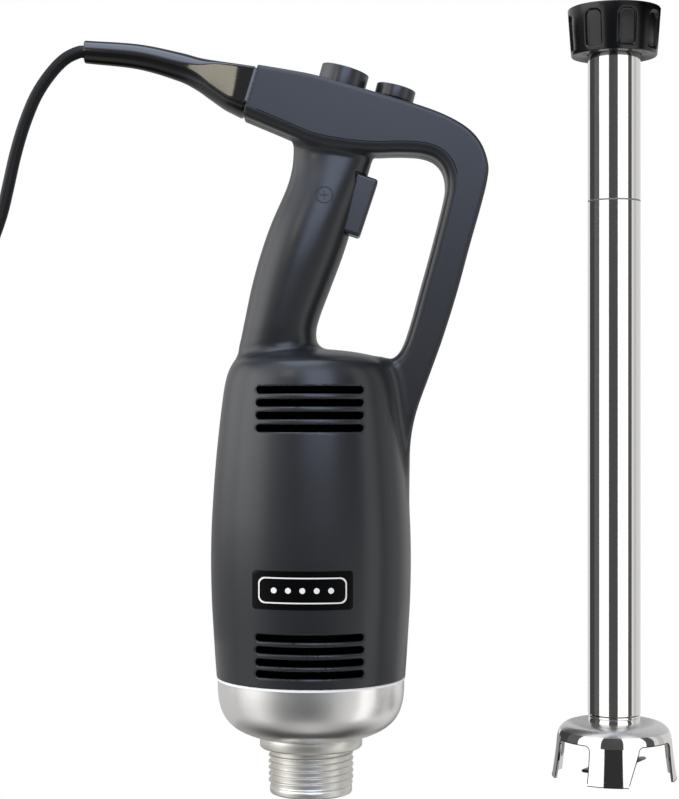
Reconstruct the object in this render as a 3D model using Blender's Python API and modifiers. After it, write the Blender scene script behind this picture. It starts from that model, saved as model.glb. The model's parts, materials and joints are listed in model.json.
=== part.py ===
"""Commercial stick blender: a motor unit with a loop handle and mains lead, and its detached shaft.

Both units stand on one floor at z = 0. Lengths below are in millimetres and become metres at MM.
Pieces of the motor unit are drawn about the motor's axis, pieces of the shaft about the shaft's axis.
"""
import math

import bmesh
import bpy
from mathutils import Matrix, Vector

MM = 0.001
GAP = 0.3                       # clearance between two separate solids

MOTOR_AXIS = (-37.2, -9.55)     # vertical axis of the motor unit
SHAFT_AXIS = (115.3, 26.45)     # vertical axis of the blending shaft

# Motor unit
NOSE_BORE_R = 15.3
THREAD_CREST_R = 20.55
THREAD_ROOT_R = 19.3
THREAD_PITCH = 3.2
THREAD_BOTTOM_Z = 3.8
THREAD_TURNS = 5
COLLAR_R = 24.8
COLLAR_BOTTOM_Z = 22.2
COLLAR_TOP_Z = 27.5
CAP_TOP_Z = 55.2
HOUSING_BOTTOM_Z = 56.6
WALL = 2.8
SPLIT = 0.15                    # half of the gap between the two housing halves
HANDLE_HALF = 14.0              # half thickness of the arm and of the loop bar
BARREL = [(0, 214.5), (20, 213.0), (29, 211.2), (35, 208.8), (38.7, 205.0), (40.8, 200), (42.6, 192),
          (44.5, 177), (46.0, 157.5), (47.6, 137), (48.1, 117), (47.7, 95), (46.5, 72), (45.3, 56.0)]
ARM_OUTER = [(-25.2, 350.2), (3.5, 344.9), (27.7, 337.7), (49.4, 331.7), (64.1, 326.5), (75.4, 320.4),
             (81.4, 312.7), (84.9, 302.0), (81.4, 282.3), (76.1, 263.6), (70.0, 240.2), (63.1, 218.6),
             (57.0, 203.0), (50.1, 183.1), (47.0, 167.5), (45.5, 157.0)]
ARM_INNER = [(25.0, 165.0), (26.0, 200.0), (39.7, 209.2), (44.0, 214.3), (48.4, 226.4), (52.7, 241.9),
             (58.7, 263.6), (64.6, 286.7), (65.4, 293.6), (64.1, 300.5), (59.8, 305.7), (54.6, 307.9),
             (39.0, 308.5), (29.5, 304.0), (20.0, 302.0), (0.0, 306.0), (-8.9, 312.5), (-14.1, 318.8),
             (-32.5, 326.1)]
ARM_CAVITY = [(-22, 343), (3, 341.6), (27, 334.4), (48, 328.4), (62, 323.4), (72.6, 318), (78, 311),
              (81.7, 302), (78.2, 283), (73, 264.4), (67, 241), (60, 219.5), (54.5, 206), (50.6, 210),
              (51.5, 226), (55.8, 241), (61.8, 263), (67.8, 286), (68.6, 294), (67, 302), (62, 308.4),
              (55, 311), (39, 311.6), (20, 306), (0, 310), (-6, 314), (-11, 321), (-27, 329)]
# Sections of the grip: left point, right point, half thickness.
GRIP = [((-32.0, 200.0), (5.0, 200.0), 14.0), ((-34.4, 212.0), (5.0, 216.0), 17.0),
        ((-32.6, 226.4), (2.6, 226.4), 17.5), ((-29.6, 242.8), (6.9, 242.0), 17.5),
        ((-25.3, 260.1), (14.0, 258.5), 17.5), ((-20.1, 274.0), (19.6, 274.0), 17.2),
        ((-14.4, 285.3), (24.5, 289.5), 16.5), ((-9.8, 300.0), (28.2, 300.5), 15.0),
        ((-8.6, 313.0), (30.0, 313.0), 13.6)]
BOOT = [((-25.6, 350.3), (-32.9, 326.1), 12.5), ((-36.2, 351.4), (-40.4, 330.4), 12.0),
        ((-50.0, 354.0), (-52.0, 339.0), 9.5), ((-63.5, 358.2), (-65.5, 345.3), 7.0),
        ((-83.5, 362.1), (-84.5, 350.4), 5.9), ((-109.3, 364.0), (-109.3, 353.0), 5.5)]
VENT_HALF_WIDTH = 25.0
UPPER_VENTS = [176.7, 182.6, 188.5, 194.5]
LOWER_VENTS = [62.9, 68.4, 74.2, 79.9]
VENT_HEIGHT = 3.3
BADGE = (-26.6, 20.1, 93.3, 111.2)                 # left, right, bottom, top

BUTTON_AT = (14.6, 341.9)
BUTTON_TILT = 16.0
BUTTON_R = 11.6
BUTTON_TOP = 8.1
BUTTON_TRAVEL = 3.0
DIAL_AT = (39.7, 334.5)
DIAL_TILT = 14.5
DIAL_R = 9.65
DIAL_TOP = 6.9
TRIGGER_AT = (22.9, 284.2)
TRIGGER_TILT = 108.4                               # its outward axis, turned from +Z towards +X
TRIGGER_SIZE = (30.0, 16.0)
TRIGGER_TOP = 7.3
TRIGGER_TRAVEL = 4.0

# Housing screws: x, z, height of the head's seat behind the split
SCREWS = [(-5.0, 326.0, 11.5), (68.5, 310.5, 11.5), (-13.0, 236.0, 13.5),
          (-36.0, 190.0, 13.5), (44.0, 176.0, 11.0)]
SCREW_HEAD_R = 3.0
SCREW_SHANK_R = 1.3
BOSS_R = 3.7

# Motor
SPINDLE_R = 4.0
ARMATURE_R = 23.0
STACK = (105.0, 145.0)
COMMUTATOR = (160.0, 172.0)
COMMUTATOR_R = 13.0
BEARING_R = 11.0
FAN_BLADES = 9

# Blending shaft
TUBE_R = 13.2
TUBE_WALL = 1.2
TUBE_BOTTOM_Z = 31.7
TUBE_TOP_Z = 366.3
NUT_BORE_R = 20.75
NUT_TOP_Z = 387.0
NUT_FLUTES = 8
FLANGE_TOP_Z = 368.7
DRIVE_R = 3.0
LEG_TURN = -8.0                                    # degrees the legs are turned from the row's axes
# Each window: the way it faces, then its left foot, left top, right top and right foot.
BELL_WINDOWS = ((-45, -13.9, -12.4, 9.8, 10.4), (45, -16.7, -10.4, 12.3, 11.9), (135, -10.4, -10.0, 10.0, 12.0),
                (225, -12.0, -10.4, 8.6, 8.6))
WINDOW_TOP_Z = 19.4
BLADE_Z = 5.7
BLADE_LENGTH = 39.5
BLADE_TURN = 35.0

# Mains lead
CORD_D = 6.0
BOOT_MOUTH = (-109.7, 0, 358.5)
CORD_ROUTE = [(-112.7, 0, 358.4), (-119.5, 0, 355.0), (-126.6, 0, 347.6),
              (-133.5, 0, 337.0), (-139.2, 0, 323.0), (-143.5, 0, 308.3), (-146.6, -0.5, 294.0),
              (-150.0, -1.5, 279.0), (-156.0, -3.0, 261.0), (-162.5, -5.0, 240.0), (-168.0, -7.0, 214.0),
              (-172.0, -8.5, 184.0), (-174.5, -10.0, 150.0), (-176.0, -11.0, 112.0), (-176.5, -11.0, 75.0),
              (-176.5, -9.0, 46.0), (-176.5, -1.0, 22.0), (-176.5, 14.0, 7.5), (-176.5, 32.0, 3.1),
              (-176.5, 49.4, 3.05)]
COIL_AT = (-215.5, 72.0)
COIL_TURN_R = (27.0, 33.0, 39.0)                   # middle of each column of turns
COIL_LAYERS = 2
TAIL_ROUTE = [(40.6, 19.2, 8.7), (38.5, 30.0, 8.2), (34.0, 43.0, 8.2), (28.5, 54.0, 9.4), (23.0, 64.0, 10.8)]
PLUG_AT = (22.8, 64.4, 11.0)                       # from the coil's centre: where the lead enters the plug
PLUG_TURN = 118.0
PLUG_BODY = (36.0, 26.0, 21.0)


# ---------------------------------------------------------------- scene and materials

def clear_scene():
    for obj in list(bpy.data.objects):
        bpy.data.objects.remove(obj)


def add_collection(name):
    made = bpy.data.collections.new(name)
    bpy.context.scene.collection.children.link(made)
    return made


def make_material(name, colour, roughness, metallic=0.0):
    made = bpy.data.materials.new(name)
    made.use_nodes = True
    shader = made.node_tree.nodes["Principled BSDF"]
    shader.inputs["Base Color"].default_value = (*colour, 1.0)
    shader.inputs["Roughness"].default_value = roughness
    shader.inputs["Metallic"].default_value = metallic
    return made


clear_scene()
MODEL = add_collection("stick_blender")
GUIDES = add_collection("cutters")
LOOKS = {
    "housing": make_material("housing", (0.05, 0.055, 0.07), 0.38),
    "black_plastic": make_material("black_plastic", (0.012, 0.012, 0.013), 0.3),
    "cord_rubber": make_material("cord_rubber", (0.016, 0.016, 0.016), 0.55),
    "aluminium": make_material("aluminium", (0.62, 0.61, 0.59), 0.32, 1.0),
    "polished_steel": make_material("polished_steel", (0.75, 0.75, 0.75), 0.12, 1.0),
    "spring_steel": make_material("spring_steel", (0.5, 0.5, 0.5), 0.3, 1.0),
    "copper": make_material("copper", (0.72, 0.38, 0.2), 0.35, 1.0),
    "iron": make_material("iron", (0.3, 0.3, 0.31), 0.5, 1.0),
    "carbon": make_material("carbon", (0.03, 0.03, 0.03), 0.7),
    "bronze": make_material("bronze", (0.55, 0.4, 0.2), 0.4, 1.0),
    "board": make_material("board", (0.02, 0.18, 0.08), 0.5),
    "nylon": make_material("nylon", (0.75, 0.74, 0.7), 0.5),
}


# ---------------------------------------------------------------- ways of making solids

def add_object(name, mesh, look, at=(0, 0, 0), turn=(0, 0, 0)):
    """A named piece, with its origin at a place in millimetres and its turn in degrees."""
    obj = bpy.data.objects.new(name, mesh)
    obj.location = Vector(at) * MM
    obj.rotation_euler = [math.radians(angle) for angle in turn]
    if look:
        mesh.materials.append(LOOKS[look])
        MODEL.objects.link(obj)
    else:
        GUIDES.objects.link(obj)
        obj.display_type = 'WIRE'
        obj.hide_render = True
    return obj


def on_motor(x=0.0, z=0.0):
    return (MOTOR_AXIS[0] + x, MOTOR_AXIS[1], z)


ON_SHAFT = (SHAFT_AXIS[0], SHAFT_AXIS[1], 0.0)


def turned(name, profile, look, at, turn=(0, 0, 0), segments=32):
    """A solid of revolution. The profile starts at the top and runs down its outer side."""
    points = [(r * MM, 0.0, z * MM) for r, z in profile]
    edges = [(i, i + 1) for i in range(len(points) - 1)]
    if profile[0][0] > 0:
        edges.append((len(points) - 1, 0))
    mesh = bpy.data.meshes.new(name)
    mesh.from_pydata(points, edges, [])
    obj = add_object(name, mesh, look, at, turn)
    screw = obj.modifiers.new("Turn", 'SCREW')
    screw.steps = segments
    screw.render_steps = segments
    screw.use_merge_vertices = True
    screw.merge_threshold = 0.00001
    return obj


def ring(name, inner, outer, low, high, look, at, segments=18):
    return turned(name, [(outer, high), (outer, low), (inner, low), (inner, high)], look, at,
                  segments=segments)


def mesh_from(name, bm):
    bmesh.ops.recalc_face_normals(bm, faces=bm.faces)
    mesh = bpy.data.meshes.new(name)
    bm.to_mesh(mesh)
    bm.free()
    return mesh


def add_block(bm, low, high):
    low, high = Vector(low) * MM, Vector(high) * MM
    size = high - low
    place = Matrix.Translation((low + high) / 2) @ Matrix.Diagonal((*size, 1.0))
    return bmesh.ops.create_cube(bm, size=1.0, matrix=place)["verts"]


def add_rod(bm, start, end, radius, segments=16):
    """A cylinder, or a prism, from one point to another."""
    start, end = Vector(start) * MM, Vector(end) * MM
    along = end - start
    place = Matrix.Translation((start + end) / 2) @ along.to_track_quat('Z', 'Y').to_matrix().to_4x4()
    bmesh.ops.create_cone(bm, cap_ends=True, segments=segments, radius1=radius * MM, radius2=radius * MM,
                          depth=along.length, matrix=place)


def block(name, low, high, look, at, turn=(0, 0, 0), bevel=0.0):
    bm = bmesh.new()
    add_block(bm, low, high)
    obj = add_object(name, mesh_from(name, bm), look, at, turn)
    if bevel:
        round_edges(obj, bevel)
    return obj


def rod(name, start, end, radius, look, at, turn=(0, 0, 0), segments=16):
    bm = bmesh.new()
    add_rod(bm, start, end, radius, segments)
    return add_object(name, mesh_from(name, bm), look, at, turn)


def round_edges(obj, width, segments=2):
    bevel = obj.modifiers.new("Round", 'BEVEL')
    bevel.width = width * MM
    bevel.segments = segments
    bevel.limit_method = 'ANGLE'
    bevel.angle_limit = math.radians(50)


def combine(obj, other, operation='DIFFERENCE'):
    step = obj.modifiers.new(other.name, 'BOOLEAN')
    step.operation = operation
    step.object = other
    step.solver = 'EXACT'


def loft(name, sections, look, at, segments=16, shrink=0.0):
    """A body through upright oval sections, each given by its two ends and its half thickness."""
    bm = bmesh.new()
    loops = []
    for first, second, half in sections:
        first, second = Vector((first[0], 0, first[1])), Vector((second[0], 0, second[1]))
        middle = (first + second) / 2
        reach = (first - second) / 2
        reach = reach * (1 - shrink / reach.length)
        loop = []
        for step in range(segments):
            angle = 2 * math.pi * step / segments
            point = middle + reach * math.cos(angle) + Vector((0, half - shrink, 0)) * math.sin(angle)
            loop.append(bm.verts.new(point * MM))
        loops.append(loop)
    for lower, upper in zip(loops, loops[1:]):
        for i in range(segments):
            j = (i + 1) % segments
            bm.faces.new((lower[i], lower[j], upper[j], upper[i]))
    bm.faces.new(loops[0])
    bm.faces.new(loops[-1])
    return add_object(name, mesh_from(name, bm), look, at)


def curve_mesh(name, curve, turn):
    """The closed mesh of a curve object that stands at the world's origin."""
    guide = bpy.data.objects.new(name, curve)
    bpy.context.scene.collection.objects.link(guide)
    graph = bpy.context.evaluated_depsgraph_get()
    mesh = bpy.data.meshes.new_from_object(guide.evaluated_get(graph))
    bpy.data.objects.remove(guide)
    bm = bmesh.new()
    bm.from_mesh(mesh)
    bpy.data.meshes.remove(mesh)
    bmesh.ops.remove_doubles(bm, verts=bm.verts, dist=0.000001)
    bmesh.ops.transform(bm, matrix=turn, verts=bm.verts)
    return mesh_from(name, bm)


def plate(name, outline, half, look, at, turn=(0, 0, 0)):
    """A flat outline in x and z, with thickness along y on both sides of its plane."""
    curve = bpy.data.curves.new(name, 'CURVE')
    curve.dimensions = '2D'
    curve.fill_mode = 'BOTH'
    curve.extrude = half * MM
    spline = curve.splines.new('POLY')
    spline.points.add(len(outline) - 1)
    for point, (x, z) in zip(spline.points, outline):
        point.co = (x * MM, z * MM, 0.0, 1.0)
    spline.use_cyclic_u = True
    return add_object(name, curve_mesh(name, curve, Matrix.Rotation(math.radians(90), 4, 'X')), look, at, turn)


def smooth_route(points, step):
    """Points about a step apart, on a smooth curve through the route's own points."""
    points = [Vector(p) for p in points]
    padded = [2 * points[0] - points[1]] + points + [2 * points[-1] - points[-2]]
    fine = []
    for a, b, c, d in zip(padded, padded[1:], padded[2:], padded[3:]):
        for i in range(20):
            t = i / 20
            fine.append(0.5 * (2 * b + (c - a) * t + (2 * a - 5 * b + 4 * c - d) * t ** 2
                               + (3 * b - a - 3 * c + d) * t ** 3))
    fine.append(points[-1])
    length = sum((q - p).length for p, q in zip(fine, fine[1:]))
    spacing = length / max(1, round(length / step))
    route, travelled = [fine[0]], 0.0
    for p, q in zip(fine, fine[1:]):
        travelled += (q - p).length
        if travelled >= spacing * len(route) - 1e-6:
            route.append(q)
    route[-1] = fine[-1]
    return route


def wire(name, route, diameter, look, at, turn=(0, 0, 0), sides=2):
    curve = bpy.data.curves.new(name, 'CURVE')
    curve.dimensions = '3D'
    curve.bevel_depth = diameter / 2 * MM
    curve.bevel_resolution = sides
    curve.use_fill_caps = True
    spline = curve.splines.new('POLY')
    spline.points.add(len(route) - 1)
    for point, place in zip(spline.points, route):
        point.co = (*(Vector(place) * MM), 1.0)
    curve.materials.append(LOOKS[look])
    obj = bpy.data.objects.new(name, curve)
    obj.location = Vector(at) * MM
    obj.rotation_euler = [math.radians(angle) for angle in turn]
    MODEL.objects.link(obj)
    return obj


def coil_spring(name, radius, low, high, turns, at, turn):
    """A compression spring about its local Z axis."""
    steps = int(turns * 8)
    route = []
    for i in range(steps + 1):
        angle = 2 * math.pi * turns * i / steps
        route.append((radius * math.cos(angle), radius * math.sin(angle), low + (high - low) * i / steps))
    return wire(name, route, 0.9, "spring_steel", at, turn, sides=0)


# ---------------------------------------------------------------- housing

def housing_outside():
    """Barrel, loop handle and grip as one solid, before it is hollowed and split."""
    outside = turned("housing_outside", BARREL + [(0, 56.0)], None, on_motor(), segments=32)
    arm = plate("arm_shape", ARM_OUTER + ARM_INNER, HANDLE_HALF, None, on_motor())
    round_edges(arm, 1.4, 1)
    grip = loft("grip_shape", GRIP, None, on_motor())
    combine(outside, arm, 'UNION')
    combine(outside, grip, 'UNION')
    return outside


def barrel_cavity():
    inside = [(r - WALL, z) for r, z in BARREL[4:]]
    profile = [(0, 209.0), (28.0, 207.0)] + inside + [(42.5, 50.0), (0, 50.0)]
    return turned("barrel_cavity", profile, None, on_motor(), segments=32)


def vent_slots():
    bm = bmesh.new()
    for z in UPPER_VENTS + LOWER_VENTS:
        add_block(bm, (-VENT_HALF_WIDTH, -60, z - VENT_HEIGHT / 2), (VENT_HALF_WIDTH, 60, z + VENT_HEIGHT / 2))
    return add_object("vent_slots", mesh_from("vent_slots", bm), None, on_motor())


def screw_rods(name, radius, ends):
    """Rods along y at each housing screw; ends gives a rod's two ends from its screw's seat."""
    bm = bmesh.new()
    for x, z, seat in SCREWS:
        near, far = ends(seat)
        add_rod(bm, (x, near, z), (x, far, z), radius, 8)
    return add_object(name, mesh_from(name, bm), None, on_motor())


def housing_cuts():
    """Everything that is taken out of both halves."""
    return [
        barrel_cavity(),
        loft("grip_cavity", GRIP, None, on_motor(), shrink=WALL),
        plate("arm_cavity", ARM_CAVITY, HANDLE_HALF - WALL, None, on_motor()),
        vent_slots(),
        rod("button_well", (0, 0, -16), (0, 0, 6), BUTTON_R + 0.4, None, on_motor(*BUTTON_AT),
            (0, BUTTON_TILT, 0), segments=32),
        rod("dial_hole", (0, 0, -9), (0, 0, 6), 3.6, None, on_motor(*DIAL_AT), (0, DIAL_TILT, 0)),
        block("trigger_well", (-15.4, -8.4, -11), (15.4, 8.4, 8), None, on_motor(*TRIGGER_AT),
              (0, TRIGGER_TILT, 0)),
    ]


def housing_halves():
    outside = housing_outside()
    cuts = housing_cuts()
    shank_holes = screw_rods("screw_holes", SCREW_SHANK_R + GAP, lambda seat: (-7.0, 30.0))
    for name, side in (("housing_front", -1), ("housing_rear", 1)):
        near, far = sorted((side * SPLIT, side * 75))
        half = block(name, (-170, near, HOUSING_BOTTOM_Z), (120, far, 400), "housing", on_motor())
        combine(half, outside, 'INTERSECT')
        for cut in cuts:
            combine(half, cut)
        bosses = screw_rods("bosses_of_" + name, BOSS_R, lambda seat: (side * SPLIT, side * (seat + 2)))
        combine(half, bosses, 'UNION')
        combine(half, shank_holes)
        if side > 0:
            combine(half, screw_rods("head_wells", SCREW_HEAD_R + 0.4, lambda seat: (seat, 40.0)))


def housing_screws():
    shape = [(0, 2.4), (2.4, 2.3), (SCREW_HEAD_R, 1.6), (SCREW_HEAD_R, GAP), (SCREW_SHANK_R, GAP),
             (SCREW_SHANK_R, -16), (0, -17)]
    for number, (x, z, seat) in enumerate(SCREWS, start=1):
        at = (MOTOR_AXIS[0] + x, MOTOR_AXIS[1] + seat, z)
        turned("housing_screw_%d" % number, shape, "spring_steel", at, (-90, 0, 0), segments=8)


def badge_plate():
    left, right, bottom, top = BADGE
    badge = turned("badge_plate", [(49.0, top), (48.9, bottom), (48.1, bottom), (48.4, top)],
                   "black_plastic", on_motor(), segments=64)
    window = block("badge_outline", (left, -60, bottom - 5), (right, -30, top + 5), None, on_motor())
    combine(badge, window, 'INTERSECT')


# ---------------------------------------------------------------- nose

def nose_cap():
    outer = [(45.0, CAP_TOP_Z), (44.4, 45.1), (43.2, 39.5), (39.6, 33.8), (32.5, 29.5), (25.4, 27.8)]
    inner = [(12.3, 27.8), (12.3, 31.5), (30.5, 32.4), (37.2, 36.6), (40.4, 41.0), (41.5, 46.0),
             (42.0, CAP_TOP_Z)]
    turned("nose_cap", outer + inner, "aluminium", on_motor(), segments=36)


def trim_ring():
    low = CAP_TOP_Z + GAP
    ring("trim_ring", 42.5, 45.5, low, HOUSING_BOTTOM_Z - GAP, "polished_steel", on_motor(), segments=36)


def threaded_nose():
    """The screwed end that takes the shaft's collar nut; its ridges stand for the thread."""
    top = THREAD_BOTTOM_Z + THREAD_PITCH * THREAD_TURNS
    outer = [(COLLAR_R - 0.6, COLLAR_TOP_Z), (COLLAR_R, COLLAR_TOP_Z - 0.6), (COLLAR_R, COLLAR_BOTTOM_Z + 0.6),
             (COLLAR_R - 0.6, COLLAR_BOTTOM_Z), (THREAD_ROOT_R, COLLAR_BOTTOM_Z - 0.6)]
    for turn in range(THREAD_TURNS):
        high = top - turn * THREAD_PITCH
        outer += [(THREAD_ROOT_R, high), (THREAD_CREST_R, high - 1.0), (THREAD_CREST_R, high - 2.2)]
    outer += [(19.9, THREAD_BOTTOM_Z - 0.5), (19.9, 0.5), (19.4, 0)]
    inner = [(NOSE_BORE_R, 0), (NOSE_BORE_R, COLLAR_TOP_Z)]
    turned("threaded_nose", outer + inner, "aluminium", on_motor(), segments=24)


def nose_seal():
    turned("nose_seal", [(12.0, 34.5), (12.0, 28.0), (4.4, 28.0), (4.4, 29.0), (7.5, 30.0), (7.5, 34.5)],
           "black_plastic", on_motor(), segments=16)


# ---------------------------------------------------------------- motor

def motor_spindle():
    turned("motor_spindle", [(0, 187), (3.6, 186.4), (SPINDLE_R, 182), (SPINDLE_R, 17.6), (0, 17.2)],
           "iron", on_motor(), segments=16)


def armature():
    low, high = STACK
    bore = SPINDLE_R + GAP
    core = ring("armature_core", bore, ARMATURE_R, low, high, "iron", on_motor(), segments=24)
    bm = bmesh.new()
    for step in range(12):
        angle = 2 * math.pi * step / 12
        out = Vector((math.cos(angle), math.sin(angle), 0))
        add_rod(bm, out * ARMATURE_R + Vector((0, 0, low - 2)), out * ARMATURE_R + Vector((0, 0, high + 2)), 1.6, 6)
    combine(core, add_object("armature_slots", mesh_from("armature_slots", bm), None, on_motor()))
    for name, bottom, top in (("armature_winding_lower", 94, low - GAP), ("armature_winding_upper", high + GAP, 156)):
        turned(name, [(17.5, top), (20, top - 2), (20, bottom + 2), (17.5, bottom), (bore, bottom), (bore, top)],
               "copper", on_motor(), segments=16)


def commutator():
    low, high = COMMUTATOR
    ring("commutator", SPINDLE_R + GAP, COMMUTATOR_R, low, high, "copper", on_motor(), segments=16)


def stator():
    low, high = STACK
    ring("stator_core", 30.2, 41.0, low, high, "iron", on_motor(), segments=24)
    for name, side in (("field_coil_front", -1), ("field_coil_rear", 1)):
        coil = ring(name, 24.2, 29.9, low - 8, high + 8, "copper", on_motor(), segments=16)
        near, far = sorted((side * 6, side * 40))
        combine(coil, block(name + "_span", (-40, near, 80), (40, far, 170), None, on_motor()), 'INTERSECT')


def bearings():
    for name, low, outer in (("lower", 82.0, 42.6), ("upper", 174.5, 39.8)):
        ring(name + "_bearing", SPINDLE_R + GAP, BEARING_R, low, low + 7, "polished_steel", on_motor(), segments=16)
        ring(name + "_bearing_bracket", BEARING_R + GAP, outer, low + 1.5, low + 5.5, "aluminium", on_motor())


def brushes():
    low, high = COMMUTATOR
    for name, side in (("left", -1), ("right", 1)):
        near, far = sorted((side * 15.0, side * 33.0))
        holder = block("brush_holder_" + name, (near, -6.5, low), (far, 6.5, high), "bronze", on_motor())
        near, far = sorted((side * 10.0, side * 40.0))
        combine(holder, block("brush_slot_" + name, (near, -4.5, low + 3), (far, 4.5, high - 3), None, on_motor()))
        near, far = sorted((side * (COMMUTATOR_R + GAP), side * 27.0))
        block("carbon_brush_" + name, (near, -4.2, low + 3.3), (far, 4.2, high - 3.3), "carbon", on_motor())


def cooling_fan():
    fan = ring("cooling_fan", SPINDLE_R + GAP, 37.0, 76.5, 78.5, "nylon", on_motor(), segments=24)
    bm = bmesh.new()
    for step in range(FAN_BLADES):
        verts = add_block(bm, (9, -0.8, 63), (36, 0.8, 77.5))
        spin = Matrix.Rotation(2 * math.pi * step / FAN_BLADES, 4, 'Z')
        bmesh.ops.transform(bm, matrix=spin, verts=verts)
    combine(fan, add_object("fan_blades", mesh_from("fan_blades", bm), None, on_motor()), 'UNION')


def output_coupling():
    """The female half of the drive, up inside the nose."""
    coupling = turned("output_coupling", [(7.5, 26), (9, 24), (9, 6.2), (8.4, 5.6), (SPINDLE_R + GAP, 5.6),
                                          (SPINDLE_R + GAP, 26)], "polished_steel", on_motor(), segments=16)
    combine(coupling, rod("coupling_socket", (0, 0, 4), (0, 0, 16.8), 5.4, None, on_motor(), segments=6))


# ---------------------------------------------------------------- controls

def enable_button():
    top = BUTTON_TOP
    shape = [(0, top), (8.5, top - 0.3), (10.6, top - 1.1), (BUTTON_R, top - 2.6), (BUTTON_R, -5.0), (0, -5.0)]
    tilt = (0, BUTTON_TILT, 0)
    turned("enable_button", shape, "housing", on_motor(*BUTTON_AT), tilt, segments=24)
    coil_spring("enable_button_spring", 4.5, -12.2, -5.9, 3.5, on_motor(*BUTTON_AT), tilt)
    block("enable_switch", (-9.5, -4.5, -24), (9.5, 4.5, -13), "black_plastic", on_motor(*BUTTON_AT), tilt, 0.6)


def speed_dial():
    top = DIAL_TOP
    shape = [(0, top), (7.2, top - 0.2), (8.9, top - 0.9), (DIAL_R, top - 2.2), (DIAL_R, 1.0), (3.2, 1.0),
             (3.2, -12.0), (0, -12.0)]
    tilt = (0, DIAL_TILT, 0)
    turned("speed_dial", shape, "housing", on_motor(*DIAL_AT), tilt, segments=24)
    turned("potentiometer", [(8.0, -9.0), (8.0, -17.5), (3.6, -17.5), (3.6, -9.0)],
           "nylon", on_motor(*DIAL_AT), tilt, segments=16)


def trigger():
    length, width = TRIGGER_SIZE
    tilt = (0, TRIGGER_TILT, 0)
    block("trigger", (-length / 2, -width / 2, -5.5), (length / 2, width / 2, TRIGGER_TOP), "black_plastic",
          on_motor(*TRIGGER_AT), tilt, 1.8)
    coil_spring("trigger_spring", 3.6, -12.0, -6.4, 3.5, on_motor(*TRIGGER_AT), tilt)
    block("trigger_switch", (-9.5, -4.5, -23.5), (9.5, 4.5, -12.8), "black_plastic", on_motor(*TRIGGER_AT), tilt, 0.6)


def control_board():
    block("control_board", (14, 8.8, 314), (50, 10.4, 324), "board", on_motor())


def cord_entry():
    loft("cord_boot", BOOT, "black_plastic", on_motor(), segments=16)
    block("cord_clamp", (-22, -9, 331), (-10.5, 9, 340), "nylon", on_motor(), bevel=0.8)


# ---------------------------------------------------------------- blending shaft

def outer_tube():
    ring("outer_tube", TUBE_R - TUBE_WALL, TUBE_R, TUBE_BOTTOM_Z, TUBE_TOP_Z, "polished_steel", ON_SHAFT, segments=36)


def shaft_hub():
    """The flange at the tube's top that the collar nut pulls against the nose."""
    plug_r = TUBE_R - TUBE_WALL - GAP
    turned("shaft_hub", [(19.6, FLANGE_TOP_Z), (19.6, 366.6), (plug_r, 366.6), (plug_r, 350), (5.6, 350), (5.6, FLANGE_TOP_Z)],
           "aluminium", ON_SHAFT, segments=24)


def locking_nut():
    """The fluted collar, and the ring in its foot that pulls on the hub's flange."""
    nut = turned("locking_nut", [(22.6, NUT_TOP_Z), (23.3, NUT_TOP_Z - 0.8), (22.6, 372), (21.8, 366), (21.4, 364.9),
                                 (NUT_BORE_R, 364.9), (NUT_BORE_R, NUT_TOP_Z)],
                 "black_plastic", ON_SHAFT, segments=32)
    bm = bmesh.new()
    for step in range(NUT_FLUTES):
        angle = 2 * math.pi * (step + 0.5) / NUT_FLUTES
        out = Vector((math.cos(angle), math.sin(angle), 0)) * 27.6
        add_rod(bm, out + Vector((0, 0, 360)), out + Vector((0, 0, 383)), 5.4, 12)
    combine(nut, add_object("nut_flutes", mesh_from("nut_flutes", bm), None, ON_SHAFT))
    turned("nut_ring", [(20.4, 366.2), (20.4, 364.5), (19.5, 363.7), (13.8, 363.7), (13.6, 366.2)], "black_plastic",
           ON_SHAFT, segments=32)


def shaft_bushings():
    bore = DRIVE_R + GAP
    # The upper one carries the spigot that centres the shaft in the nose.
    turned("upper_bushing", [(13.8, 377), (14.3, 376.4), (14.3, 369), (5.3, 369), (5.3, 352), (bore, 352), (bore, 370.5),
                             (5.6, 370.5), (5.6, 377)], "bronze", ON_SHAFT, segments=24)
    ring("lower_bushing", bore, TUBE_R - TUBE_WALL - GAP, 36, 52, "bronze", ON_SHAFT, segments=24)
    ring("shaft_seal", bore, 7.2, 25.5, 31.0, "black_plastic", ON_SHAFT, segments=16)


def bell_guard():
    """A neck, a low dome and four legs between the windows."""
    outer = [(12.9, 31.4), (12.9, 27.5), (18.0, 27.6), (22.2, 27.3), (24.8, 26.3), (26.6, 24.9), (27.9, 23.2),
             (28.6, 20.2), (29.2, 14.0), (30.1, 7.0), (31.2, 0)]
    inner = [(29.9, 0), (28.8, 7.0), (27.9, 14.0), (27.3, 19.8), (26.6, 22.2), (25.2, 23.9), (22.6, 25.4),
             (18.0, 26.0), (13.0, 25.0), (7.5, 25.0), (7.5, 31.4)]
    bell = turned("bell_guard", outer + inner, "polished_steel", ON_SHAFT, segments=32)
    for number, window in enumerate(BELL_WINDOWS, start=1):
        combine(bell, bell_window(number, *window))


def bell_window(number, turn, foot_left, top_left, top_right, foot_right):
    """A cutter through one wall of the bell."""
    shape = [(foot_left, -1.0), (foot_right, -1.0), (top_right, WINDOW_TOP_Z - 3), (top_right - 2.6, WINDOW_TOP_Z),
             (top_left + 2.6, WINDOW_TOP_Z), (top_left, WINDOW_TOP_Z - 3)]
    angle = math.radians(turn + LEG_TURN)
    at = (SHAFT_AXIS[0] + 30 * math.sin(angle), SHAFT_AXIS[1] - 30 * math.cos(angle), 0)
    return plate("bell_window_%d" % number, shape, 15, None, at, (0, 0, turn + LEG_TURN))


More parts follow.
